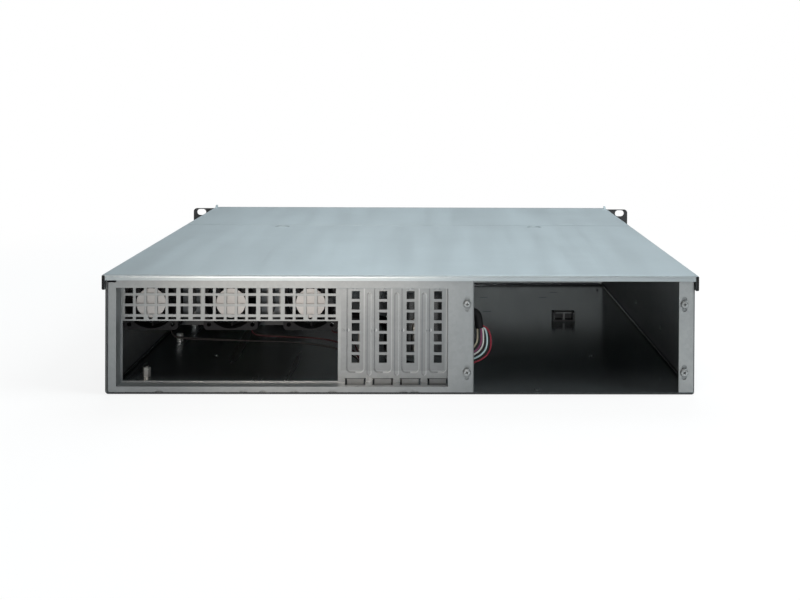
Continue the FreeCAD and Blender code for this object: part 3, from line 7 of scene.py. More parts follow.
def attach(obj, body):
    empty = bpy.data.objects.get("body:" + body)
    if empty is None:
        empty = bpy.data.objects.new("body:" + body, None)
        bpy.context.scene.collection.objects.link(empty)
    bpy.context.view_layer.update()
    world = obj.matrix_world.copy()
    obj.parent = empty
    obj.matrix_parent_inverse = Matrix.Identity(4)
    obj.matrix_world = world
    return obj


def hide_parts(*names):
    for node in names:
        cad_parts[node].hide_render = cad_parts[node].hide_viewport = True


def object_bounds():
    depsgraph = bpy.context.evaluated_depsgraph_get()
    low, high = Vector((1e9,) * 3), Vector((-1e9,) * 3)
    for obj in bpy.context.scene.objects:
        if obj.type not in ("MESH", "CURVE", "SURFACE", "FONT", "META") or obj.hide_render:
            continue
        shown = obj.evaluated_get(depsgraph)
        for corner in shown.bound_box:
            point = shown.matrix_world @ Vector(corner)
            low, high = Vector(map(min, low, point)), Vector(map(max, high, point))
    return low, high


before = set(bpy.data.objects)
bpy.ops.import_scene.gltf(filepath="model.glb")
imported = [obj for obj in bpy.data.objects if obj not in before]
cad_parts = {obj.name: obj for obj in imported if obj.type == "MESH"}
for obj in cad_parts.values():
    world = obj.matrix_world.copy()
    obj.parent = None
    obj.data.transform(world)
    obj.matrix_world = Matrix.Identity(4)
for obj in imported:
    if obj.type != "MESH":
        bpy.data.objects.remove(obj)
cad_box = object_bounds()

MM = 0.001
scene = bpy.context.scene
scene.view_settings.view_transform = "Standard"

# ---- camera, floor and light -----------------------------------------------------
# A long lens behind and above the rear edge looks along the lid towards the ears. It is
# shifted, so that the upright edges stay upright. The floor is a pale sheet that keeps
# part of the case's shadow near it.
camera_data = bpy.data.cameras.new("camera")
camera_data.sensor_width = 36.0
camera_data.lens = 58.45
camera_data.shift_x = -0.0634
camera_data.shift_y = -0.2583
camera_data.clip_start = 0.01
camera_data.clip_end = 50.0
camera = bpy.data.objects.new("camera", camera_data)
scene.collection.objects.link(camera)
CAMERA_PLACE = Vector((-0.0194, 1.1957, 0.2295))
CAMERA_YAW, CAMERA_PITCH, CAMERA_ROLL = (math.radians(turn) for turn in (-0.954, -0.595, 0.283))
look = Vector((math.sin(CAMERA_YAW) * math.cos(CAMERA_PITCH),
               -math.cos(CAMERA_YAW) * math.cos(CAMERA_PITCH), math.sin(CAMERA_PITCH)))
camera.matrix_world = (Matrix.Translation(CAMERA_PLACE)
                       @ look.to_track_quat("-Z", "Y").to_matrix().to_4x4()
                       @ Matrix.Rotation(CAMERA_ROLL, 4, "Z"))
scene.camera = camera


def new_material(name):
    """A node material with its shader and nothing else."""
    material = bpy.data.materials.new(name)
    material.use_nodes = True
    return material, material.node_tree, material.node_tree.nodes["Principled BSDF"]


def node(tree, kind, **values):
    """Add a node; sockets are set by name, other values by attribute."""
    made = tree.nodes.new(kind)
    for key, value in values.items():
        if hasattr(made, key):
            setattr(made, key, value)
        else:
            made.inputs[key.replace("_", " ")].default_value = value
    return made


def wire(tree, source, target):
    tree.links.new(source, target)


FLOOR_HALF, FLOOR_GAP = 6.0, 0.4 * MM
FLOOR_COLOUR = (0.93, 0.93, 0.93, 1.0)
SHADOW_SHARE = 0.20                     # how much of the case's shadow the white floor keeps
SHADOW_NEAR, SHADOW_FAR = 0.45, 1.0     # the shadow fades out between these distances
floor_mesh = bpy.data.meshes.new("floor")
floor_bm = bmesh.new()
bmesh.ops.create_grid(floor_bm, x_segments=1, y_segments=1, size=FLOOR_HALF)
floor_bm.to_mesh(floor_mesh)
floor_bm.free()
floor = bpy.data.objects.new("floor", floor_mesh)
floor.location.z = cad_box[0][2] - FLOOR_GAP
scene.collection.objects.link(floor)
floor_material, tree, shader = new_material("pale_floor")
shader.inputs["Base Color"].default_value = FLOOR_COLOUR
shader.inputs["Roughness"].default_value = 0.9
shader.inputs["Specular IOR Level"].default_value = 0.0
glow = node(tree, "ShaderNodeEmission", Strength=1.0)
blend = node(tree, "ShaderNodeMixShader")
seen = node(tree, "ShaderNodeLightPath")
place = node(tree, "ShaderNodeTexCoord")
away = node(tree, "ShaderNodeVectorMath", operation="LENGTH")
share = node(tree, "ShaderNodeMapRange", interpolation_type="SMOOTHSTEP",
             From_Min=SHADOW_NEAR, From_Max=SHADOW_FAR, To_Min=1.0 - SHADOW_SHARE, To_Max=1.0)
white = node(tree, "ShaderNodeMath", operation="MULTIPLY")
wire(tree, place.outputs["Object"], away.inputs[0])
wire(tree, away.outputs["Value"], share.inputs["Value"])
wire(tree, seen.outputs["Is Camera Ray"], white.inputs[0])
wire(tree, share.outputs["Result"], white.inputs[1])
wire(tree, white.outputs[0], blend.inputs["Fac"])
wire(tree, shader.outputs[0], blend.inputs[1])
wire(tree, glow.outputs[0], blend.inputs[2])
wire(tree, blend.outputs[0], tree.nodes["Material Output"].inputs["Surface"])
floor_mesh.materials.append(floor_material)

WORLD_LIGHT = 0.16
world = bpy.data.worlds.new("white_room")
scene.world = world
world.use_nodes = True
tree = world.node_tree
background = tree.nodes["Background"]
seen = node(tree, "ShaderNodeLightPath")
level = node(tree, "ShaderNodeMapRange", To_Min=WORLD_LIGHT, To_Max=1.0)
wire(tree, seen.outputs["Is Camera Ray"], level.inputs["Value"])
wire(tree, level.outputs["Result"], background.inputs["Strength"])
background.inputs["Color"].default_value = (1.0, 1.0, 1.0, 1.0)


def lamp(name, place, target, size, power, colour):
    """A soft square lamp aimed at a point."""
    data = bpy.data.lights.new(name, "AREA")
    data.size = size
    data.energy = power
    data.color = colour
    made = bpy.data.objects.new(name, data)
    made.location = place
    made.rotation_euler = (Vector(target) - Vector(place)).to_track_quat("-Z", "Y").to_euler()
    scene.collection.objects.link(made)


# Key and fill light the rear and the sides, the front lamp grazes the covers, and the
# small rear lamp reaches into the openings.
lamp("key_lamp", (0.22, 1.5, 2.0), (0.0, 0.1, 0.04), 1.2, 20.0, (1.0, 0.99, 0.97))
lamp("fill_lamp", (-1.6, 0.5, 1.6), (0.0, 0.1, 0.04), 1.4, 36.0, (0.90, 0.97, 1.0))
lamp("front_lamp", (-0.1, -1.8, 1.9), (0.0, 0.0, 0.08), 1.6, 34.0, (0.86, 0.96, 1.0))
lamp("rear_lamp", (-0.12, 2.4, 0.215), (0.0, 0.25, 0.05), 0.1, 5.5, (0.96, 1.0, 1.0))
# A narrow warm spot rakes the air grille.
GLINT_PLACE, GLINT_AIM = Vector((0.31, 2.0, 0.4)), Vector((0.085, 0.25, 0.078))
glint_data = bpy.data.lights.new("glint_lamp", "SPOT")
glint_data.energy = 84.0
glint_data.color = (1.0, 0.88, 0.77)
glint_data.spot_size = math.radians(9.0)
glint_data.spot_blend = 1.0
glint_data.shadow_soft_size = 0.05
glint = bpy.data.objects.new("glint_lamp", glint_data)
glint.location = GLINT_PLACE
glint.rotation_euler = (GLINT_AIM - GLINT_PLACE).to_track_quat("-Z", "Y").to_euler()
scene.collection.objects.link(glint)

# ---- tray, drive cage and fan bracket --------------------------------------------
# The tray is folded from zinc-coated steel, 1.2 mm: a matt, slightly blotchy grey with a
# faint spangle. The drive cage and the fan bracket are folded from the same steel. The
# cage is screwed down, and the bracket is riveted to the side wall.


def group(name, inputs, outputs):
    """A node group with named sockets."""
    made = bpy.data.node_groups.new(name, "ShaderNodeTree")
    kinds = {"value": "NodeSocketFloat", "colour": "NodeSocketColor", "normal": "NodeSocketVector"}
    for label, kind, default in inputs:
        socket = made.interface.new_socket(name=label, in_out="INPUT", socket_type=kinds[kind])
        if default is not None:
            socket.default_value = default
    for label, kind in outputs:
        made.interface.new_socket(name=label, in_out="OUTPUT", socket_type=kinds[kind])
    return made, made.nodes.new("NodeGroupInput"), made.nodes.new("NodeGroupOutput")


def zinc_group():
    """Cloudy zinc: base colour, roughness and a faint bump from spangle, clouds and fine scratches."""
    made, given, out = group(
        "zinc_finish",
        [("Light", "colour", (0.5, 0.5, 0.5, 1)), ("Dark", "colour", (0.4, 0.4, 0.4, 1)),
         ("Roughness", "value", 0.4), ("Spangle", "value", 0.3)],
        [("Colour", "colour"), ("Roughness", "value"), ("Normal", "normal")])
    place = node(made, "ShaderNodeTexCoord")
    clouds = node(made, "ShaderNodeTexNoise", Scale=14.0, Detail=5.0, Roughness=0.6)
    crystals = node(made, "ShaderNodeTexVoronoi", Scale=420.0)
    streaks = node(made, "ShaderNodeTexNoise", Scale=60.0, Detail=4.0)
    stretch = node(made, "ShaderNodeMapping")
    stretch.inputs["Scale"].default_value = (1.0, 0.06, 1.0)
    wire(made, place.outputs["Object"], clouds.inputs["Vector"])
    wire(made, place.outputs["Object"], crystals.inputs["Vector"])
    wire(made, place.outputs["Object"], stretch.inputs["Vector"])
    wire(made, stretch.outputs["Vector"], streaks.inputs["Vector"])
    tone = node(made, "ShaderNodeMapRange", From_Min=0.3, From_Max=0.7)
    wire(made, clouds.outputs["Fac"], tone.inputs["Value"])
    grey = node(made, "ShaderNodeSeparateColor")
    wire(made, crystals.outputs["Color"], grey.inputs["Color"])
    spark = node(made, "ShaderNodeMath", operation="MULTIPLY")
    wire(made, grey.outputs["Red"], spark.inputs[0])
    wire(made, given.outputs["Spangle"], spark.inputs[1])
    blend = node(made, "ShaderNodeMath", operation="ADD", use_clamp=True)
    wire(made, tone.outputs["Result"], blend.inputs[0])
    wire(made, spark.outputs[0], blend.inputs[1])
    mix = node(made, "ShaderNodeMix", data_type="RGBA")
    wire(made, blend.outputs[0], mix.inputs["Factor"])
    wire(made, given.outputs["Dark"], mix.inputs["A"])
    wire(made, given.outputs["Light"], mix.inputs["B"])
    wire(made, mix.outputs["Result"], out.inputs["Colour"])
    shine = node(made, "ShaderNodeMath", operation="MULTIPLY_ADD")
    wire(made, streaks.outputs["Fac"], shine.inputs[0])
    shine.inputs[1].default_value = 0.12
    wire(made, given.outputs["Roughness"], shine.inputs[2])
    wire(made, shine.outputs[0], out.inputs["Roughness"])
    bump = node(made, "ShaderNodeBump", Strength=0.06, Distance=0.0002)
    wire(made, streaks.outputs["Fac"], bump.inputs["Height"])
    wire(made, bump.outputs["Normal"], out.inputs["Normal"])
    return made


ZINC = zinc_group()


def zinc_sheet(name, light, dark, roughness, spangle, metallic):
    """Bare zinc-coated steel."""
    material, tree, shader = new_material(name)
    coat = node(tree, "ShaderNodeGroup", node_tree=ZINC)
    coat.inputs["Light"].default_value = (*light, 1.0)
    coat.inputs["Dark"].default_value = (*dark, 1.0)
    coat.inputs["Roughness"].default_value = roughness
    coat.inputs["Spangle"].default_value = spangle
    shader.inputs["Metallic"].default_value = metallic
    wire(tree, coat.outputs["Colour"], shader.inputs["Base Color"])
    wire(tree, coat.outputs["Roughness"], shader.inputs["Roughness"])
    wire(tree, coat.outputs["Normal"], shader.inputs["Normal"])
    return material


def dress(material, *names):
    """Give CAD nodes a material."""
    for name in names:
        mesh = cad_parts[name].data
        mesh.materials.clear()
        mesh.materials.append(material)


WALL_LIGHT, WALL_DARK, WALL_ROUGH, WALL_METAL = (0.30, 0.31, 0.31), (0.23, 0.24, 0.245), 0.32, 0.5
body_sheet = zinc_sheet("body_sheet", WALL_LIGHT, WALL_DARK, WALL_ROUGH, 0.35, WALL_METAL)
dress(body_sheet, "chassis_tray", "drive_cage")
# Painted shade: the bracket gets the tray's steel in a much darker tone, for the shade it stands in inside the
# case.
bracket_sheet_shaded = zinc_sheet("bracket_sheet_shaded", (0.17, 0.175, 0.18), (0.125, 0.13, 0.135), 0.36, 0.3, 0.5)
dress(bracket_sheet_shaded, "fan_bracket")


def object_axes(tree):
    """X, Y, Z and "across", the X without its sign, of a point of the object."""
    axes = node(tree, "ShaderNodeSeparateXYZ")
    wire(tree, node(tree, "ShaderNodeTexCoord").outputs["Object"], axes.inputs[0])
    across = node(tree, "ShaderNodeMath", operation="ABSOLUTE")
    wire(tree, axes.outputs["X"], across.inputs[0])
    return {"x": axes.outputs["X"], "y": axes.outputs["Y"], "z": axes.outputs["Z"],
            "across": across.outputs[0]}


def mask(tree, operation, source, limit):
    """1 where a value passes a limit, else 0."""
    made = node(tree, "ShaderNodeMath", operation=operation)
    made.inputs[1].default_value = limit
    wire(tree, source, made.inputs[0])
    return made.outputs[0]


def all_of(tree, tests):
    """Product of several masks."""
    factor = tests[0]
    for test in tests[1:]:
        joined = node(tree, "ShaderNodeMath", operation="MULTIPLY")
        wire(tree, factor, joined.inputs[0])
        wire(tree, test, joined.inputs[1])
        factor = joined.outputs[0]
    return factor


def region(tree, *more, **limits):
    """1 between a low and a high limit, in mm, on each axis named, and where more masks hold."""
    axes = object_axes(tree)
    tests = list(more)
    for axis, (low, high) in limits.items():
        if low is not None:
            tests.append(mask(tree, "GREATER_THAN", axes[axis], low * MM))
        if high is not None:
            tests.append(mask(tree, "LESS_THAN", axes[axis], high * MM))
    return all_of(tree, tests)


def fade(tree, axis, full, none, most=1.0):
    """A mask that fades along an axis, from most at one place to 0 at another, in mm."""
    made = node(tree, "ShaderNodeMapRange", From_Min=full * MM, From_Max=none * MM, To_Min=most, To_Max=0.0)
    wire(tree, object_axes(tree)[axis], made.inputs["Value"])
    return made.outputs["Result"]


def tint(tree, factor, colour, blend="MIX", share=1.0):
    """Lay a colour over the base colour by a mask."""
    if share < 1.0:
        part = node(tree, "ShaderNodeMath", operation="MULTIPLY")
        part.inputs[1].default_value = share
        wire(tree, factor, part.inputs[0])
        factor = part.outputs[0]
    made = node(tree, "ShaderNodeMix", data_type="RGBA", blend_type=blend)
    made.inputs["B"].default_value = (*colour, 1.0)
    base = tree.nodes["Principled BSDF"].inputs["Base Color"]
    wire(tree, factor, made.inputs["Factor"])
    wire(tree, base.links[0].from_socket, made.inputs["A"])
    wire(tree, made.outputs["Result"], base)


def blend_value(tree, factor, target, low, high):
    """Mix two plain numbers by a mask into a socket."""
    made = node(tree, "ShaderNodeMapRange", To_Min=low, To_Max=high)
    wire(tree, factor, made.inputs["Value"])
    wire(tree, made.outputs["Result"], target)


# Painted shade: the bracket's lower flange is darkened almost to black and its sheen cut, for the shade under
# the grille.
SHADE_BLACK = (0.012, 0.013, 0.014)
FLANGE_FOOT, FLANGE_TOP = 51.5, 55.0
tree = bracket_sheet_shaded.node_tree
flange_shade = fade(tree, "z", FLANGE_FOOT, FLANGE_TOP, 0.92)
tint(tree, flange_shade, SHADE_BLACK)
blend_value(tree, flange_shade, tree.nodes["Principled BSDF"].inputs["Specular IOR Level"], 0.5, 0.1)

# The floor is the untouched rolled face of the sheet: smoother and more mirroring, and
# a little worn where boards have been slid in.
# Painted shade: the floor's tones are much darker than the walls', for the dark floor inside the case.
FLOOR_SHADE_LIGHT, FLOOR_SHADE_DARK, FLOOR_METAL = (0.165, 0.185, 0.19), (0.135, 0.15, 0.157), 0.7
FLOOR_ROUGH, WORN_ROUGH, WORN_FROM = 0.08, 0.2, 10.0
FLOOR_FACE = 1.8
tree = body_sheet.node_tree
shader = tree.nodes["Principled BSDF"]
coat = shader.inputs["Base Color"].links[0].from_node
on_floor = region(tree, z=(None, FLOOR_FACE))
blend_value(tree, on_floor, shader.inputs["Metallic"], WALL_METAL, FLOOR_METAL)
blend_value(tree, on_floor, coat.inputs["Roughness"], WALL_ROUGH, FLOOR_ROUGH)
polish = coat.inputs["Roughness"].links[0].from_node
blend_value(tree, region(tree, x=(WORN_FROM, None)), polish.inputs["To Max"], FLOOR_ROUGH, WORN_ROUGH)
for label, wall_tone, floor_tone in (("Light", WALL_LIGHT, FLOOR_SHADE_LIGHT), ("Dark", WALL_DARK, FLOOR_SHADE_DARK)):
    tone = node(tree, "ShaderNodeMix", data_type="RGBA")
    tone.inputs["A"].default_value = (*wall_tone, 1.0)
    tone.inputs["B"].default_value = (*floor_tone, 1.0)
    wire(tree, on_floor, tone.inputs["Factor"])
    wire(tree, tone.outputs["Result"], coat.inputs[label])

# Painted shade darkens the folds at the foot of the front and side walls, and the sheared
# rear ends of the side walls and floor are toned darker.
FOLD_SHADE, WALL_END_DARK, FLOOR_END_DARK = (0.015, 0.016, 0.017), (0.03, 0.032, 0.034), (0.04, 0.042, 0.044)
FRONT_FOLD = {"y": (None, -245.5), "z": (None, 3.6)}
SIDE_FOLDS = {"across": (210.6, None), "y": (None, 246.0), "z": (None, 3.8)}
WALL_ENDS = {"across": (213.9, None), "y": (248.6, None)}
FLOOR_END = {"y": (248.6, None), "z": (None, 1.15)}
tint(tree, region(tree, **FRONT_FOLD), FOLD_SHADE)
tint(tree, region(tree, **SIDE_FOLDS), FOLD_SHADE, share=0.78)
tint(tree, region(tree, **WALL_ENDS), WALL_END_DARK)
tint(tree, region(tree, **FLOOR_END), FLOOR_END_DARK)

# ---- rear panel and slot covers --------------------------------------------------
# The panel is one folded sheet of the tray's steel with a recessed window plate, and it
# closes the tray's rear. The four vented covers hang behind its slots on a bent tab and a
# tongue, and screws hold their tabs.
panel_sheet = zinc_sheet("panel_sheet", (0.235, 0.245, 0.249), (0.185, 0.195, 0.20), 0.30, 0.3, 0.6)
dress(panel_sheet, "rear_panel", "psu_nut_plate_inner", "psu_nut_plate_outer",
      "slot_cover_1", "slot_cover_2", "slot_cover_3", "slot_cover_4")
SLOT_X, SLOT_PITCH, RECESS_FRONT = 34.20 * MM, 20.32 * MM, 245.0 * MM


def painted_edges_group():
    """Row of long rounded outlines: painted shade on the +X side and painted highlight on the other."""
    made, given, out = group(
        "painted_edge_light",
        [("Colour", "colour", (0.3, 0.3, 0.3, 1)), ("First", "value", 0.0), ("Count", "value", 4.0),
         ("Half Width", "value", 0.006), ("Corner", "value", 0.003),
         ("Low", "value", 0.0), ("High", "value", 0.07)],
        [("Colour", "colour")])

    def calc(operation, first, second=None, third=None):
        step = made.nodes.new("ShaderNodeMath")
        step.operation = operation
        for socket, value in zip(step.inputs, (first, second, third)):
            if isinstance(value, (int, float)):
                socket.default_value = value
            elif value is not None:
                made.links.new(value, socket)
        return step.outputs[0]

    axes = node(made, "ShaderNodeSeparateXYZ")
    wire(made, node(made, "ShaderNodeTexCoord").outputs["Object"], axes.inputs[0])
    along = calc("SUBTRACT", axes.outputs["X"], given.outputs["First"])
    local = calc("WRAP", along, SLOT_PITCH / 2, -SLOT_PITCH / 2)
    span = calc("MULTIPLY", given.outputs["Count"], SLOT_PITCH / 2)
    middle = calc("SUBTRACT", SLOT_PITCH / 2, span)
    in_row = calc("LESS_THAN", calc("ABSOLUTE", calc("SUBTRACT", along, middle)), span)
    flat_x = calc("SUBTRACT", given.outputs["Half Width"], given.outputs["Corner"])
    over_x = calc("MAXIMUM", calc("SUBTRACT", calc("ABSOLUTE", local), flat_x), 0.0)
    mid_z = calc("MULTIPLY", calc("ADD", given.outputs["Low"], given.outputs["High"]), 0.5)
    half_z = calc("MULTIPLY", calc("SUBTRACT", given.outputs["High"], given.outputs["Low"]), 0.5)
    flat_z = calc("SUBTRACT", half_z, given.outputs["Corner"])
    off_z = calc("ABSOLUTE", calc("SUBTRACT", axes.outputs["Z"], mid_z))
    over_z = calc("MAXIMUM", calc("SUBTRACT", off_z, flat_z), 0.0)
    reach = calc("SQRT", calc("ADD", calc("POWER", over_x, 2.0), calc("POWER", over_z, 2.0)))
    away = calc("ABSOLUTE", calc("SUBTRACT", reach, given.outputs["Corner"]))
    line = node(made, "ShaderNodeMapRange", From_Min=0.25 * MM, From_Max=0.6 * MM, To_Min=1.0, To_Max=0.0)
    wire(made, away, line.inputs["Value"])
    recessed = calc("LESS_THAN", axes.outputs["Y"], RECESS_FRONT)
    near = calc("MULTIPLY", calc("MULTIPLY", line.outputs["Result"], in_row), recessed)
    lee = calc("GREATER_THAN", local, 0.0)
    shade = node(made, "ShaderNodeMix", data_type="RGBA")
    shade.inputs["B"].default_value = (0.06, 0.065, 0.07, 1.0)
    wire(made, given.outputs["Colour"], shade.inputs["A"])
    wire(made, calc("MULTIPLY", calc("MULTIPLY", near, lee), 0.4), shade.inputs["Factor"])
    gleam = node(made, "ShaderNodeMix", data_type="RGBA")
    gleam.inputs["B"].default_value = (0.50, 0.51, 0.51, 1.0)
    wire(made, shade.outputs["Result"], gleam.inputs["A"])
    lit = calc("MULTIPLY", near, calc("SUBTRACT", 1.0, lee))
    wire(made, calc("MULTIPLY", lit, 0.35), gleam.inputs["Factor"])
    wire(made, gleam.outputs["Result"], out.inputs["Colour"])
    return made


# Painted shade and painted highlight outline the punched slots, the pressed ribs and a small
# dimple beside each slot. Each row: first place, count, half width, corner, low, high.
PAINTED_EDGES = painted_edges_group()
BESIDE = SLOT_X + 5.6 * MM
EDGE_ROWS = ((SLOT_X, 4, 6.35, 3.0, 12.6, 120.0), (SLOT_X - SLOT_PITCH / 2, 3, 1.5, 1.5, 10.7, 71.50),
             (BESIDE, 4, 0.85, 0.85, 43.0, 44.7), (BESIDE, 4, 0.55, 0.55, 43.3, 44.4))
tree = panel_sheet.node_tree
shader = tree.nodes["Principled BSDF"]
colour = shader.inputs["Base Color"].links[0].from_socket
for first, count, half, corner, low, high in EDGE_ROWS:
    edge_light = node(tree, "ShaderNodeGroup", node_tree=PAINTED_EDGES)
    edge_light.inputs["First"].default_value = first
    edge_light.inputs["Count"].default_value = count
    edge_light.inputs["Half Width"].default_value = half * MM
    edge_light.inputs["Corner"].default_value = corner * MM
    edge_light.inputs["Low"].default_value = low * MM
    edge_light.inputs["High"].default_value = high * MM
    wire(tree, colour, edge_light.inputs["Colour"])
    colour = edge_light.outputs["Colour"]
wire(tree, colour, shader.inputs["Base Color"])


# Painted shade: the field of the slots is darkened toward its foot.
FIELD_FOOT, FIELD_TOP = 52.0, 74.0
SLOT_FIELD = {"x": (-31.5, 45.0), "z": (14.0, None)}
field_shade = region(tree, fade(tree, "z", FIELD_FOOT, FIELD_TOP), **SLOT_FIELD)
tint(tree, field_shade, (0.84, 0.84, 0.85), "MULTIPLY")


def cut_rim(tree, **limits):
    """Darken a thin strip along a cut, over the width of each tongue slot."""
    row = node(tree, "ShaderNodeMath", operation="SUBTRACT")
    row.inputs[1].default_value = SLOT_X
    wire(tree, object_axes(tree)["x"], row.inputs[0])
    local = node(tree, "ShaderNodeMath", operation="WRAP")
    local.inputs[1].default_value = SLOT_PITCH / 2
    local.inputs[2].default_value = -SLOT_PITCH / 2
    wire(tree, row.outputs[0], local.inputs[0])
    wide = node(tree, "ShaderNodeMath", operation="ABSOLUTE")
    wire(tree, local.outputs[0], wide.inputs[0])
    in_slots = [mask(tree, "LESS_THAN", wide.outputs[0], TONGUE_HALF),
                mask(tree, "LESS_THAN", row.outputs[0], SLOT_PITCH / 2),
                mask(tree, "GREATER_THAN", row.outputs[0], -3.5 * SLOT_PITCH)]
    tint(tree, region(tree, *in_slots, **limits), (0.02, 0.02, 0.022))


# Shadowed edges round the tongue slots: above them and on the ledge behind them.
TONGUE_HALF = 7.8 * MM
ABOVE_SLOTS = {"y": (None, 236.5), "z": (7.6, 8.3)}
BEHIND_SLOTS = {"y": (242.8, 244.4), "z": (None, 6.0)}
cut_rim(tree, **ABOVE_SLOTS)
cut_rim(tree, **BEHIND_SLOTS)

# ---- screws ----------------------------------------------------------------------
# Zinc-plated pan heads with a cross recess, and black countersunk ones in the
# front panel and ears. The heads are cold-formed and the recess is punched. The plain
# rivets in the side walls are set for slide rails.


def grain_group():
    """Moulded or sprayed skin: two tones in fine mottle, roughness and bump."""
    made, given, out = group(
        "fine_grain",
        [("Tone A", "colour", (0.03, 0.03, 0.03, 1)), ("Tone B", "colour", (0.05, 0.05, 0.05, 1)),
         ("Scale", "value", 900.0), ("Roughness", "value", 0.45), ("Depth", "value", 0.2)],
        [("Colour", "colour"), ("Roughness", "value"), ("Normal", "normal")])
    place = node(made, "ShaderNodeTexCoord")
    speckle = node(made, "ShaderNodeTexNoise", Detail=3.0)
    cloud = node(made, "ShaderNodeTexNoise", Scale=22.0, Detail=4.0)
    wire(made, place.outputs["Object"], speckle.inputs["Vector"])
    wire(made, place.outputs["Object"], cloud.inputs["Vector"])
    wire(made, given.outputs["Scale"], speckle.inputs["Scale"])
    both = node(made, "ShaderNodeMath", operation="MULTIPLY")
    wire(made, speckle.outputs["Fac"], both.inputs[0])
    wire(made, cloud.outputs["Fac"], both.inputs[1])
    spread = node(made, "ShaderNodeMapRange", From_Min=0.12, From_Max=0.42)
    wire(made, both.outputs[0], spread.inputs["Value"])
    mix = node(made, "ShaderNodeMix", data_type="RGBA")
    wire(made, spread.outputs["Result"], mix.inputs["Factor"])
    wire(made, given.outputs["Tone A"], mix.inputs["A"])
    wire(made, given.outputs["Tone B"], mix.inputs["B"])
    wire(made, mix.outputs["Result"], out.inputs["Colour"])
    shine = node(made, "ShaderNodeMath", operation="MULTIPLY_ADD")
    wire(made, cloud.outputs["Fac"], shine.inputs[0])
    shine.inputs[1].default_value = 0.14
    wire(made, given.outputs["Roughness"], shine.inputs[2])
    wire(made, shine.outputs[0], out.inputs["Roughness"])
    bump = node(made, "ShaderNodeBump", Distance=0.0001)
    wire(made, speckle.outputs["Fac"], bump.inputs["Height"])
    wire(made, given.outputs["Depth"], bump.inputs["Strength"])
    wire(made, bump.outputs["Normal"], out.inputs["Normal"])
    return made


GRAIN = grain_group()


def grained(name, tone_a, tone_b, scale, roughness, depth, metallic=0.0, specular=0.5):
    """A plastic, rubber or painted skin."""
    material, tree, shader = new_material(name)
    skin = node(tree, "ShaderNodeGroup", node_tree=GRAIN)
    skin.inputs["Tone A"].default_value = (*tone_a, 1.0)
    skin.inputs["Tone B"].default_value = (*tone_b, 1.0)
    skin.inputs["Scale"].default_value = scale
    skin.inputs["Roughness"].default_value = roughness
    skin.inputs["Depth"].default_value = depth
    shader.inputs["Metallic"].default_value = metallic
    shader.inputs["Specular IOR Level"].default_value = specular
    wire(tree, skin.outputs["Colour"], shader.inputs["Base Color"])
    wire(tree, skin.outputs["Roughness"], shader.inputs["Roughness"])
    wire(tree, skin.outputs["Normal"], shader.inputs["Normal"])
    return material


steel_bright = zinc_sheet("screw_zinc", (0.36, 0.37, 0.37), (0.24, 0.25, 0.25), 0.28, 0.2, 0.85)
# Painted highlight: the cross recesses get a tone and finish of their own, for the bright cross they show.
recess_painted_light = grained("recess_painted_light", (0.10, 0.10, 0.10), (0.17, 0.17, 0.17), 1200.0, 0.45, 0.1, 0.5)
black_oxide = grained("black_oxide", (0.03, 0.03, 0.032), (0.06, 0.06, 0.06), 1500.0, 0.35, 0.1, 0.4)


def new_mesh_piece(name, bm, material):
    """Close a bmesh into an object that holds its place in its mesh."""
    mesh = bpy.data.meshes.new(name)
    bm.to_mesh(mesh)
    bm.free()
    mesh.materials.append(material)
    made = bpy.data.objects.new(name, mesh)
    scene.collection.objects.link(made)
    return made


def evaluated(piece):
    """The piece's mesh with its modifiers applied."""
    graph = bpy.context.evaluated_depsgraph_get()
    return bpy.data.meshes.new_from_object(piece.evaluated_get(graph))


def cross_head(radius, height, sunk, shank_r, length):
    """A screw along +Z with its seat at the origin and a cross recess in its head."""
    bm = bmesh.new()
    if sunk:
        outline = [(0, 0), (radius, 0), (shank_r, shank_r - radius), (shank_r, -length), (0, -length)]
    else:
        outline = [(0, height), (radius * 0.55, height * 0.97), (radius * 0.82, height * 0.8),
                   (radius * 0.97, height * 0.45), (radius, 0),
                   (shank_r, 0), (shank_r, -length), (0, -length)]
    ring = [bm.verts.new((r, 0, z)) for r, z in outline]
    for a, b in zip(ring, ring[1:]):
        bm.edges.new((a, b))
    bmesh.ops.spin(bm, geom=bm.verts[:] + bm.edges[:], cent=(0, 0, 0), axis=(0, 0, 1),
                   angle=2 * math.pi, steps=32, use_merge=True)
    bmesh.ops.remove_doubles(bm, verts=bm.verts, dist=1e-6)
    bmesh.ops.recalc_face_normals(bm, faces=bm.faces)
    head = new_mesh_piece("screw_blank", bm, steel_bright)
    bm = bmesh.new()
    top = 0.0 if sunk else height
    for turn in (0, math.pi / 2):
        arm = bmesh.ops.create_cube(bm, size=1.0)["verts"]
        bmesh.ops.scale(bm, vec=(radius * 1.15, radius * 0.26, radius * 0.9), verts=arm)
        for vert in arm:
            if vert.co.z < 0:
                vert.co.x *= 0.45
        bmesh.ops.rotate(bm, verts=arm, matrix=Matrix.Rotation(turn, 3, "Z"))
        bmesh.ops.translate(bm, vec=(0, 0, top), verts=arm)
    cutter = new_mesh_piece("recess_tool", bm, recess_painted_light)
    punch = head.modifiers.new("recess", "BOOLEAN")
    punch.operation = "DIFFERENCE"
    punch.solver = "EXACT"
    punch.use_self = True
    punch.material_mode = "TRANSFER"
    punch.object = cutter
    mesh = evaluated(head)
    bpy.data.objects.remove(head)
    bpy.data.objects.remove(cutter)
    return mesh


def screw_set(name, blank, places, material, node_name):
    """Copies of a screw; each place is (seat, outward direction, turn)."""
    bm = bmesh.new()
    for seat, outward, turn in places:
        before = len(bm.verts)
        bm.from_mesh(blank)
        bm.verts.ensure_lookup_table()
        fresh = bm.verts[before:]
        aim = Vector(outward).to_track_quat("Z", "X").to_matrix() @ Matrix.Rotation(turn, 3, "Z")
        bmesh.ops.rotate(bm, verts=fresh, matrix=aim)
        bmesh.ops.translate(bm, vec=seat, verts=fresh)
    made = new_mesh_piece(name, bm, material)
    made.data.materials.append(recess_painted_light)
    made.data.polygons.foreach_set("use_smooth", [False] * len(made.data.polygons))
    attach(made, "case")
    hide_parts(node_name)
    return made


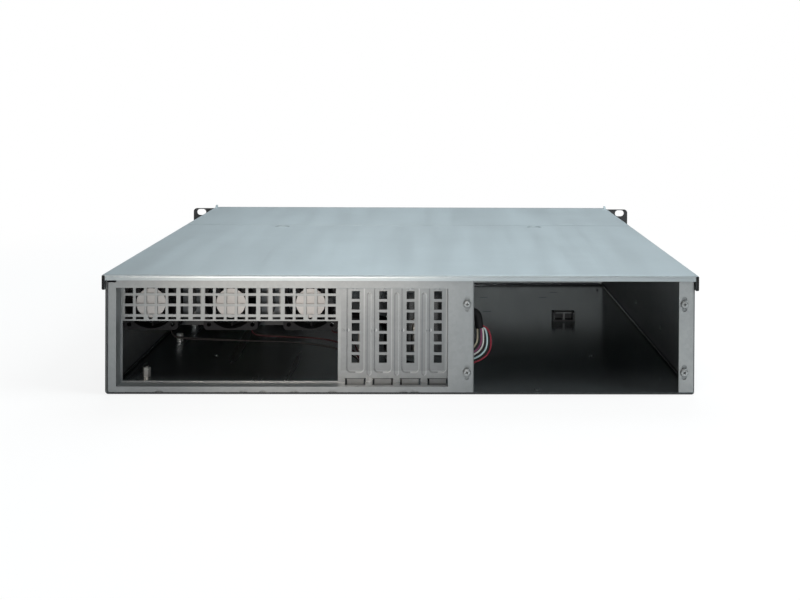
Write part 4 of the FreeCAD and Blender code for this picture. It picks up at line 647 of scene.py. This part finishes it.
def screw_places(node_name):
    """Lowest and highest corner of each separate screw of a node."""
    bm = bmesh.new()
    bm.from_mesh(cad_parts[node_name].data)
    bmesh.ops.remove_doubles(bm, verts=bm.verts, dist=1e-6)
    seen_verts = set()
    places = []
    for first in bm.verts:
        if first in seen_verts:
            continue
        shell, todo = [], [first]
        seen_verts.add(first)
        while todo:
            vert = todo.pop()
            shell.append(vert.co.copy())
            for edge in vert.link_edges:
                other = edge.other_vert(vert)
                if other not in seen_verts:
                    seen_verts.add(other)
                    todo.append(other)
        low = Vector([min(c[i] for c in shell) for i in range(3)])
        high = Vector([max(c[i] for c in shell) for i in range(3)])
        places.append((low, high))
    bm.free()
    return places


M3_HEAD, M3_HEIGHT, M3_SHANK = 3.0 * MM, 2.1 * MM, 1.5 * MM
PAN_LENGTH, SUNK_LENGTH, COVER_LENGTH = 7.0 * MM, 5.0 * MM, 6.0 * MM
pan_blank = cross_head(M3_HEAD, M3_HEIGHT, False, M3_SHANK, PAN_LENGTH)
rear_places = []
for k, (low, high) in enumerate(screw_places("psu_screws")):
    seat = Vector(((low.x + high.x) / 2, high.y - M3_HEIGHT, (low.z + high.z) / 2))
    rear_places.append((seat, (0, 1, 0), 0.5 + 0.9 * k))
screw_set("power_supply_screws", pan_blank, rear_places, steel_bright, "psu_screws")

sunk_blank = cross_head(M3_HEAD, 0.0, True, M3_SHANK, SUNK_LENGTH)
long_sunk = cross_head(M3_HEAD, 0.0, True, M3_SHANK, COVER_LENGTH)
front_places = []
for k, (low, high) in enumerate(screw_places("panel_screws")):
    seat = Vector(((low.x + high.x) / 2, low.y, (low.z + high.z) / 2))
    front_places.append((seat, (0, -1, 0), 0.7 * k))
screw_set("front_panel_screws", sunk_blank, front_places, black_oxide, "panel_screws")
for name, blank, material, node_name in (("ear_leg_screws", sunk_blank, black_oxide, "ear_screws"),
                                         ("front_cover_screws", long_sunk, steel_bright, "cover_screws")):
    side_places = []
    for k, (low, high) in enumerate(screw_places(node_name)):
        side = 1 if low.x > 0 else -1
        seat = Vector((high.x if side > 0 else low.x, (low.y + high.y) / 2, (low.z + high.z) / 2))
        side_places.append((seat, (side, 0, 0), 0.4 + 0.8 * k))
    screw_set(name, blank, side_places, material, node_name)
dress(steel_bright, "slot_screws", "rail_studs", "handle_screws", "cage_screws",
      "board_screws", "board_posts", "fan_screws", "fan_rivets")

# ---- motherboard standoffs -------------------------------------------------------
# Turned hexagons with a bright nickel coat, which stand on the tray's floor in the
# motherboard's hole pattern.
nickel = zinc_sheet("nickel", (0.90, 0.90, 0.88), (0.74, 0.74, 0.73), 0.2, 0.1, 0.6)
dress(nickel, "standoffs")

# ---- fans ------------------------------------------------------------------------
# Three 40 mm fans on the bracket: moulded black frames and impellers, and a bare foil
# label on each motor. Screws hold them to the bracket.
fan_black = grained("fan_black", (0.005, 0.005, 0.006), (0.010, 0.010, 0.011), 1100.0, 0.55, 0.15,
                    specular=0.1)
dress(fan_black, "fan_frame_1", "fan_frame_2", "fan_frame_3",
      "fan_impeller_1", "fan_impeller_2", "fan_impeller_3")
foil = zinc_sheet("label_foil", (0.34, 0.335, 0.335), (0.26, 0.255, 0.255), 0.45, 0.15, 0.4)
dress(foil, "fan_labels")

# ---- wiring ----------------------------------------------------------------------
# Eight loose wires of the front panel's harness loop out beside the rear panel, from a
# taped bunch down to their plug. Their black sleeve lies on the floor and runs round the
# drive cage to the front. Each fan has a pair of thin leads.


def wire_skin(name, colour, specular=0.4):
    """Glossy wire insulation, a little uneven."""
    deep = tuple(c * 0.82 for c in colour)
    return grained(name, deep, colour, 700.0, 0.36, 0.06, specular=specular)


def nurbs(curve, points, material_index=0):
    """One open smooth spline through its control points."""
    spline = curve.splines.new("NURBS")
    spline.points.add(len(points) - 1)
    for target, place in zip(spline.points, points):
        target.co = (*place, 1.0)
    spline.order_u = 3
    spline.use_endpoint_u = True
    spline.resolution_u = 10
    spline.material_index = material_index
    return spline


def tube_curve(name, radius, materials):
    """A round cord of one radius, its splines added afterwards."""
    curve = bpy.data.curves.new(name, "CURVE")
    curve.dimensions = "3D"
    curve.bevel_depth = radius
    curve.bevel_resolution = 4
    curve.use_fill_caps = True
    for material in materials:
        curve.materials.append(material)
    made = bpy.data.objects.new(name, curve)
    scene.collection.objects.link(made)
    return made, curve


LOOP_COLOURS = (("wire_cream", (0.72, 0.66, 0.50)), ("wire_black_1", (0.02, 0.02, 0.02)),
                ("wire_plum", (0.36, 0.10, 0.22)), ("wire_white", (0.80, 0.78, 0.76)),
                ("wire_black_2", (0.02, 0.02, 0.022)), ("wire_pale_blue", (0.55, 0.74, 0.76)),
                ("wire_black_3", (0.02, 0.02, 0.02)), ("wire_dark_red", (0.30, 0.02, 0.04)))
# Places in mm: the bunch comes over behind the panel's edge, bulges out and goes back in.
WIRE_R, BUNCH_R, LOOP_Y = 0.62, 1.55, 226.0
BUNCH = [(-35.0, 10.0), (-36.0, 34.0), (-45.0, 55.0), (-56.0, 57.0), (-57.6, 47.0)]
BULGE_X, BULGE_STEP, BULGE_TOP, BULGE_FOOT, FOOT_STEP = -56.6, 1.42, 42.5, 31.5, 1.2
RETURN_X, RETURN_Z, RETURN_STEP, PLUG_EDGE, WEAVE = -47.0, 24.5, 1.3, -44.0, 0.5
loop, loop_curve = tube_curve("harness_wires", WIRE_R * MM, [wire_skin(n, c) for n, c in LOOP_COLOURS])
RING = len(LOOP_COLOURS) - 1            # one wire runs in the middle of the others
for k in range(len(LOOP_COLOURS)):
    turn = 2 * math.pi * k / RING
    side, deep = (0.0, 0.0) if k == RING else (BUNCH_R * math.cos(turn), BUNCH_R * math.sin(turn))
    y = LOOP_Y + (WEAVE if k % 2 else -WEAVE)
    x = BULGE_X - BULGE_STEP * k
    route = [(px + side, LOOP_Y + deep, pz) for px, pz in BUNCH]
    back = RETURN_Z - RETURN_STEP * k
    route += [(x, y, BULGE_TOP), (x, y, BULGE_FOOT - FOOT_STEP * k), (RETURN_X, y, back), (PLUG_EDGE, y, back)]
    nurbs(loop_curve, [Vector(place) * MM for place in route], k)
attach(loop, "case")
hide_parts("harness_loop")

connector_black = grained("connector_black", (0.015, 0.015, 0.016), (0.03, 0.03, 0.03), 1300.0, 0.4, 0.15)
sleeve_black = grained("sleeve_black", (0.006, 0.006, 0.007), (0.016, 0.016, 0.018), 1900.0, 0.6, 0.6,
                       specular=0.25)
dress(connector_black, "harness_plug", "header_plug", "fan_plugs", "cable_clip",
      "tact_switches", "harness_tie")
dress(sleeve_black, "harness_boot")
latch_grey = grained("latch_grey", (0.30, 0.30, 0.30), (0.42, 0.42, 0.42), 900.0, 0.35, 0.1)
dress(latch_grey, "clip_latch")

SLEEVE_R, SLEEVE_Z = 3.0, 4.5
SLEEVE_ROUTE = [(167.0, -225.2, 24.0), (167.0, -206.2, 24.0), (169.0, -187.4, SLEEVE_Z),
                (169.0, -130.0, SLEEVE_Z), (161.0, -78.0, SLEEVE_Z), (120.0, -52.0, SLEEVE_Z),
                (66.0, -48.0, SLEEVE_Z), (22.0, -30.0, SLEEVE_Z), (14.0, 14.0, SLEEVE_Z),
                (17.0, 62.0, SLEEVE_Z), (12.0, 112.0, SLEEVE_Z), (13.0, 158.0, SLEEVE_Z),
                (-26.7, 190.0, SLEEVE_Z), (-26.7, 221.0, SLEEVE_Z)]
sleeve, sleeve_curve = tube_curve("harness_sleeving", SLEEVE_R * MM, [sleeve_black])
nurbs(sleeve_curve, [Vector(place) * MM for place in SLEEVE_ROUTE])
nurbs(sleeve_curve, [Vector((x, LOOP_Y, z)) * MM for x, z in [*BUNCH[1:], (-58.0, 44.0)]])
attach(sleeve, "case")
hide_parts("harness_sleeve")

lead_black = wire_skin("lead_black", (0.008, 0.007, 0.007), 0.08)
lead_red = wire_skin("lead_red", (0.022, 0.003, 0.005), 0.1)
FAN_CENTRES, FAN_EDGE, FAN_FRONT = (67.66, 126.5, 185.34), 14.0, 214.2
LEAD_LEVEL, LEAD_DROP, LEAD_STEP, LEAD_SPREAD, LEAD_FOOT, LEAD_END = 43.7, 4.6, 1.6, 5.6, 3.7, 8.0
STRAND_R, STRAND_OFF = 0.5, 0.5
leads, leads_curve = tube_curve("fan_lead_pairs", STRAND_R * MM, [lead_black, lead_red])
for k, centre in enumerate(FAN_CENTRES):
    x, y = centre - FAN_EDGE, FAN_FRONT + LEAD_SPREAD * (k + 0.6)
    run = LEAD_LEVEL - LEAD_DROP - LEAD_STEP * k
    for strand in (0, 1):
        off = STRAND_OFF * (2 * strand - 1)
        route = [(x, y + off, LEAD_LEVEL), (x, y + off, LEAD_LEVEL - 5.0), (x - 9.0, y + off, run - off),
                 (LEAD_END + 30.0, y + off, run - 3.0 + off), (LEAD_END + 17.0, y + off, LEAD_FOOT),
                 (LEAD_END, y + off, LEAD_FOOT)]
        skin = strand if k < 2 else 0       # the last fan's leads are both black
        nurbs(leads_curve, [Vector(place) * MM for place in route], skin)
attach(leads, "case")
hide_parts("fan_leads")

# ---- front panel, ears and handles ----------------------------------------------
# Steel plates with a fine-textured black powder coat, screwed to the tray's front and
# sides. The handles are bent satin bars, each with two screws from behind.
black_coat = grained("black_coat", (0.020, 0.020, 0.021), (0.034, 0.034, 0.035), 2200.0, 0.46, 0.35)
dress(black_coat, "front_panel", "rack_ear_right", "rack_ear_left")
satin_bar = zinc_sheet("satin_bar", (0.66, 0.67, 0.68), (0.56, 0.57, 0.58), 0.30, 0.1, 1.0)
dress(satin_bar, "handle_right", "handle_left")

# ---- front controls --------------------------------------------------------------
# Two moulded push buttons, two lamps and two tinned sockets stand out through the front
# panel. They are fixed to a small circuit board on posts behind it.
cap_black = grained("cap_black", (0.02, 0.02, 0.022), (0.035, 0.035, 0.037), 1500.0, 0.22, 0.08)
dress(cap_black, "power_button", "reset_button")
lamp_green = grained("lamp_green", (0.42, 0.70, 0.48), (0.52, 0.80, 0.58), 600.0, 0.15, 0.03)
dress(lamp_green, "status_lights")
board_green = grained("board_green", (0.02, 0.12, 0.06), (0.03, 0.17, 0.08), 300.0, 0.3, 0.1)
dress(board_green, "control_board")
tinned = zinc_sheet("tinned_shell", (0.72, 0.72, 0.71), (0.6, 0.6, 0.6), 0.22, 0.1, 1.0)
dress(tinned, "usb_port_lower", "usb_port_upper")

# ---- covers ----------------------------------------------------------------------
# Two covers of zinc-coated steel, 1 mm. The one over the front is screwed on, and the
# lid behind it has doubled side edges that slide along the tray's rims.
cover_sheet = zinc_sheet("cover_sheet", (0.352, 0.402, 0.423), (0.322, 0.368, 0.388), 0.33, 0.25, 0.7)
dress(cover_sheet, "lid", "front_cover")
# Painted shade: the cut ends of the side hems are darkened almost to black, for the shaded gap in the fold.
tree = cover_sheet.node_tree
HEM_ENDS = {"across": (215.3, None), "y": (250.8, None)}
tint(tree, region(tree, **HEM_ENDS), SHADE_BLACK)
# Painted shade darkens the hollows of the two thumb catches, most of all at their deep edge, and cuts their
# sheen.
CATCHES = {"across": (112.0, 132.0), "y": (-70.0, -59.0), "z": (None, 86.92)}
CATCH_DEEP = 86.1
shader = tree.nodes["Principled BSDF"]
catch_shade = region(tree, **CATCHES)
tint(tree, catch_shade, (0.17, 0.19, 0.20))
blend_value(tree, catch_shade, shader.inputs["Metallic"], 0.7, 0.1)
blend_value(tree, catch_shade, shader.inputs["Specular IOR Level"], 0.5, 0.15)
tint(tree, region(tree, catch_shade, z=(None, CATCH_DEEP)), (0.03, 0.032, 0.034))
# Painted light: the rear lip is toned a little darker and warmer than the top, for how light falls on it.
REAR_LIP = {"y": (249.6, None)}
tint(tree, region(tree, **REAR_LIP), (0.90, 0.87, 0.86), "MULTIPLY")
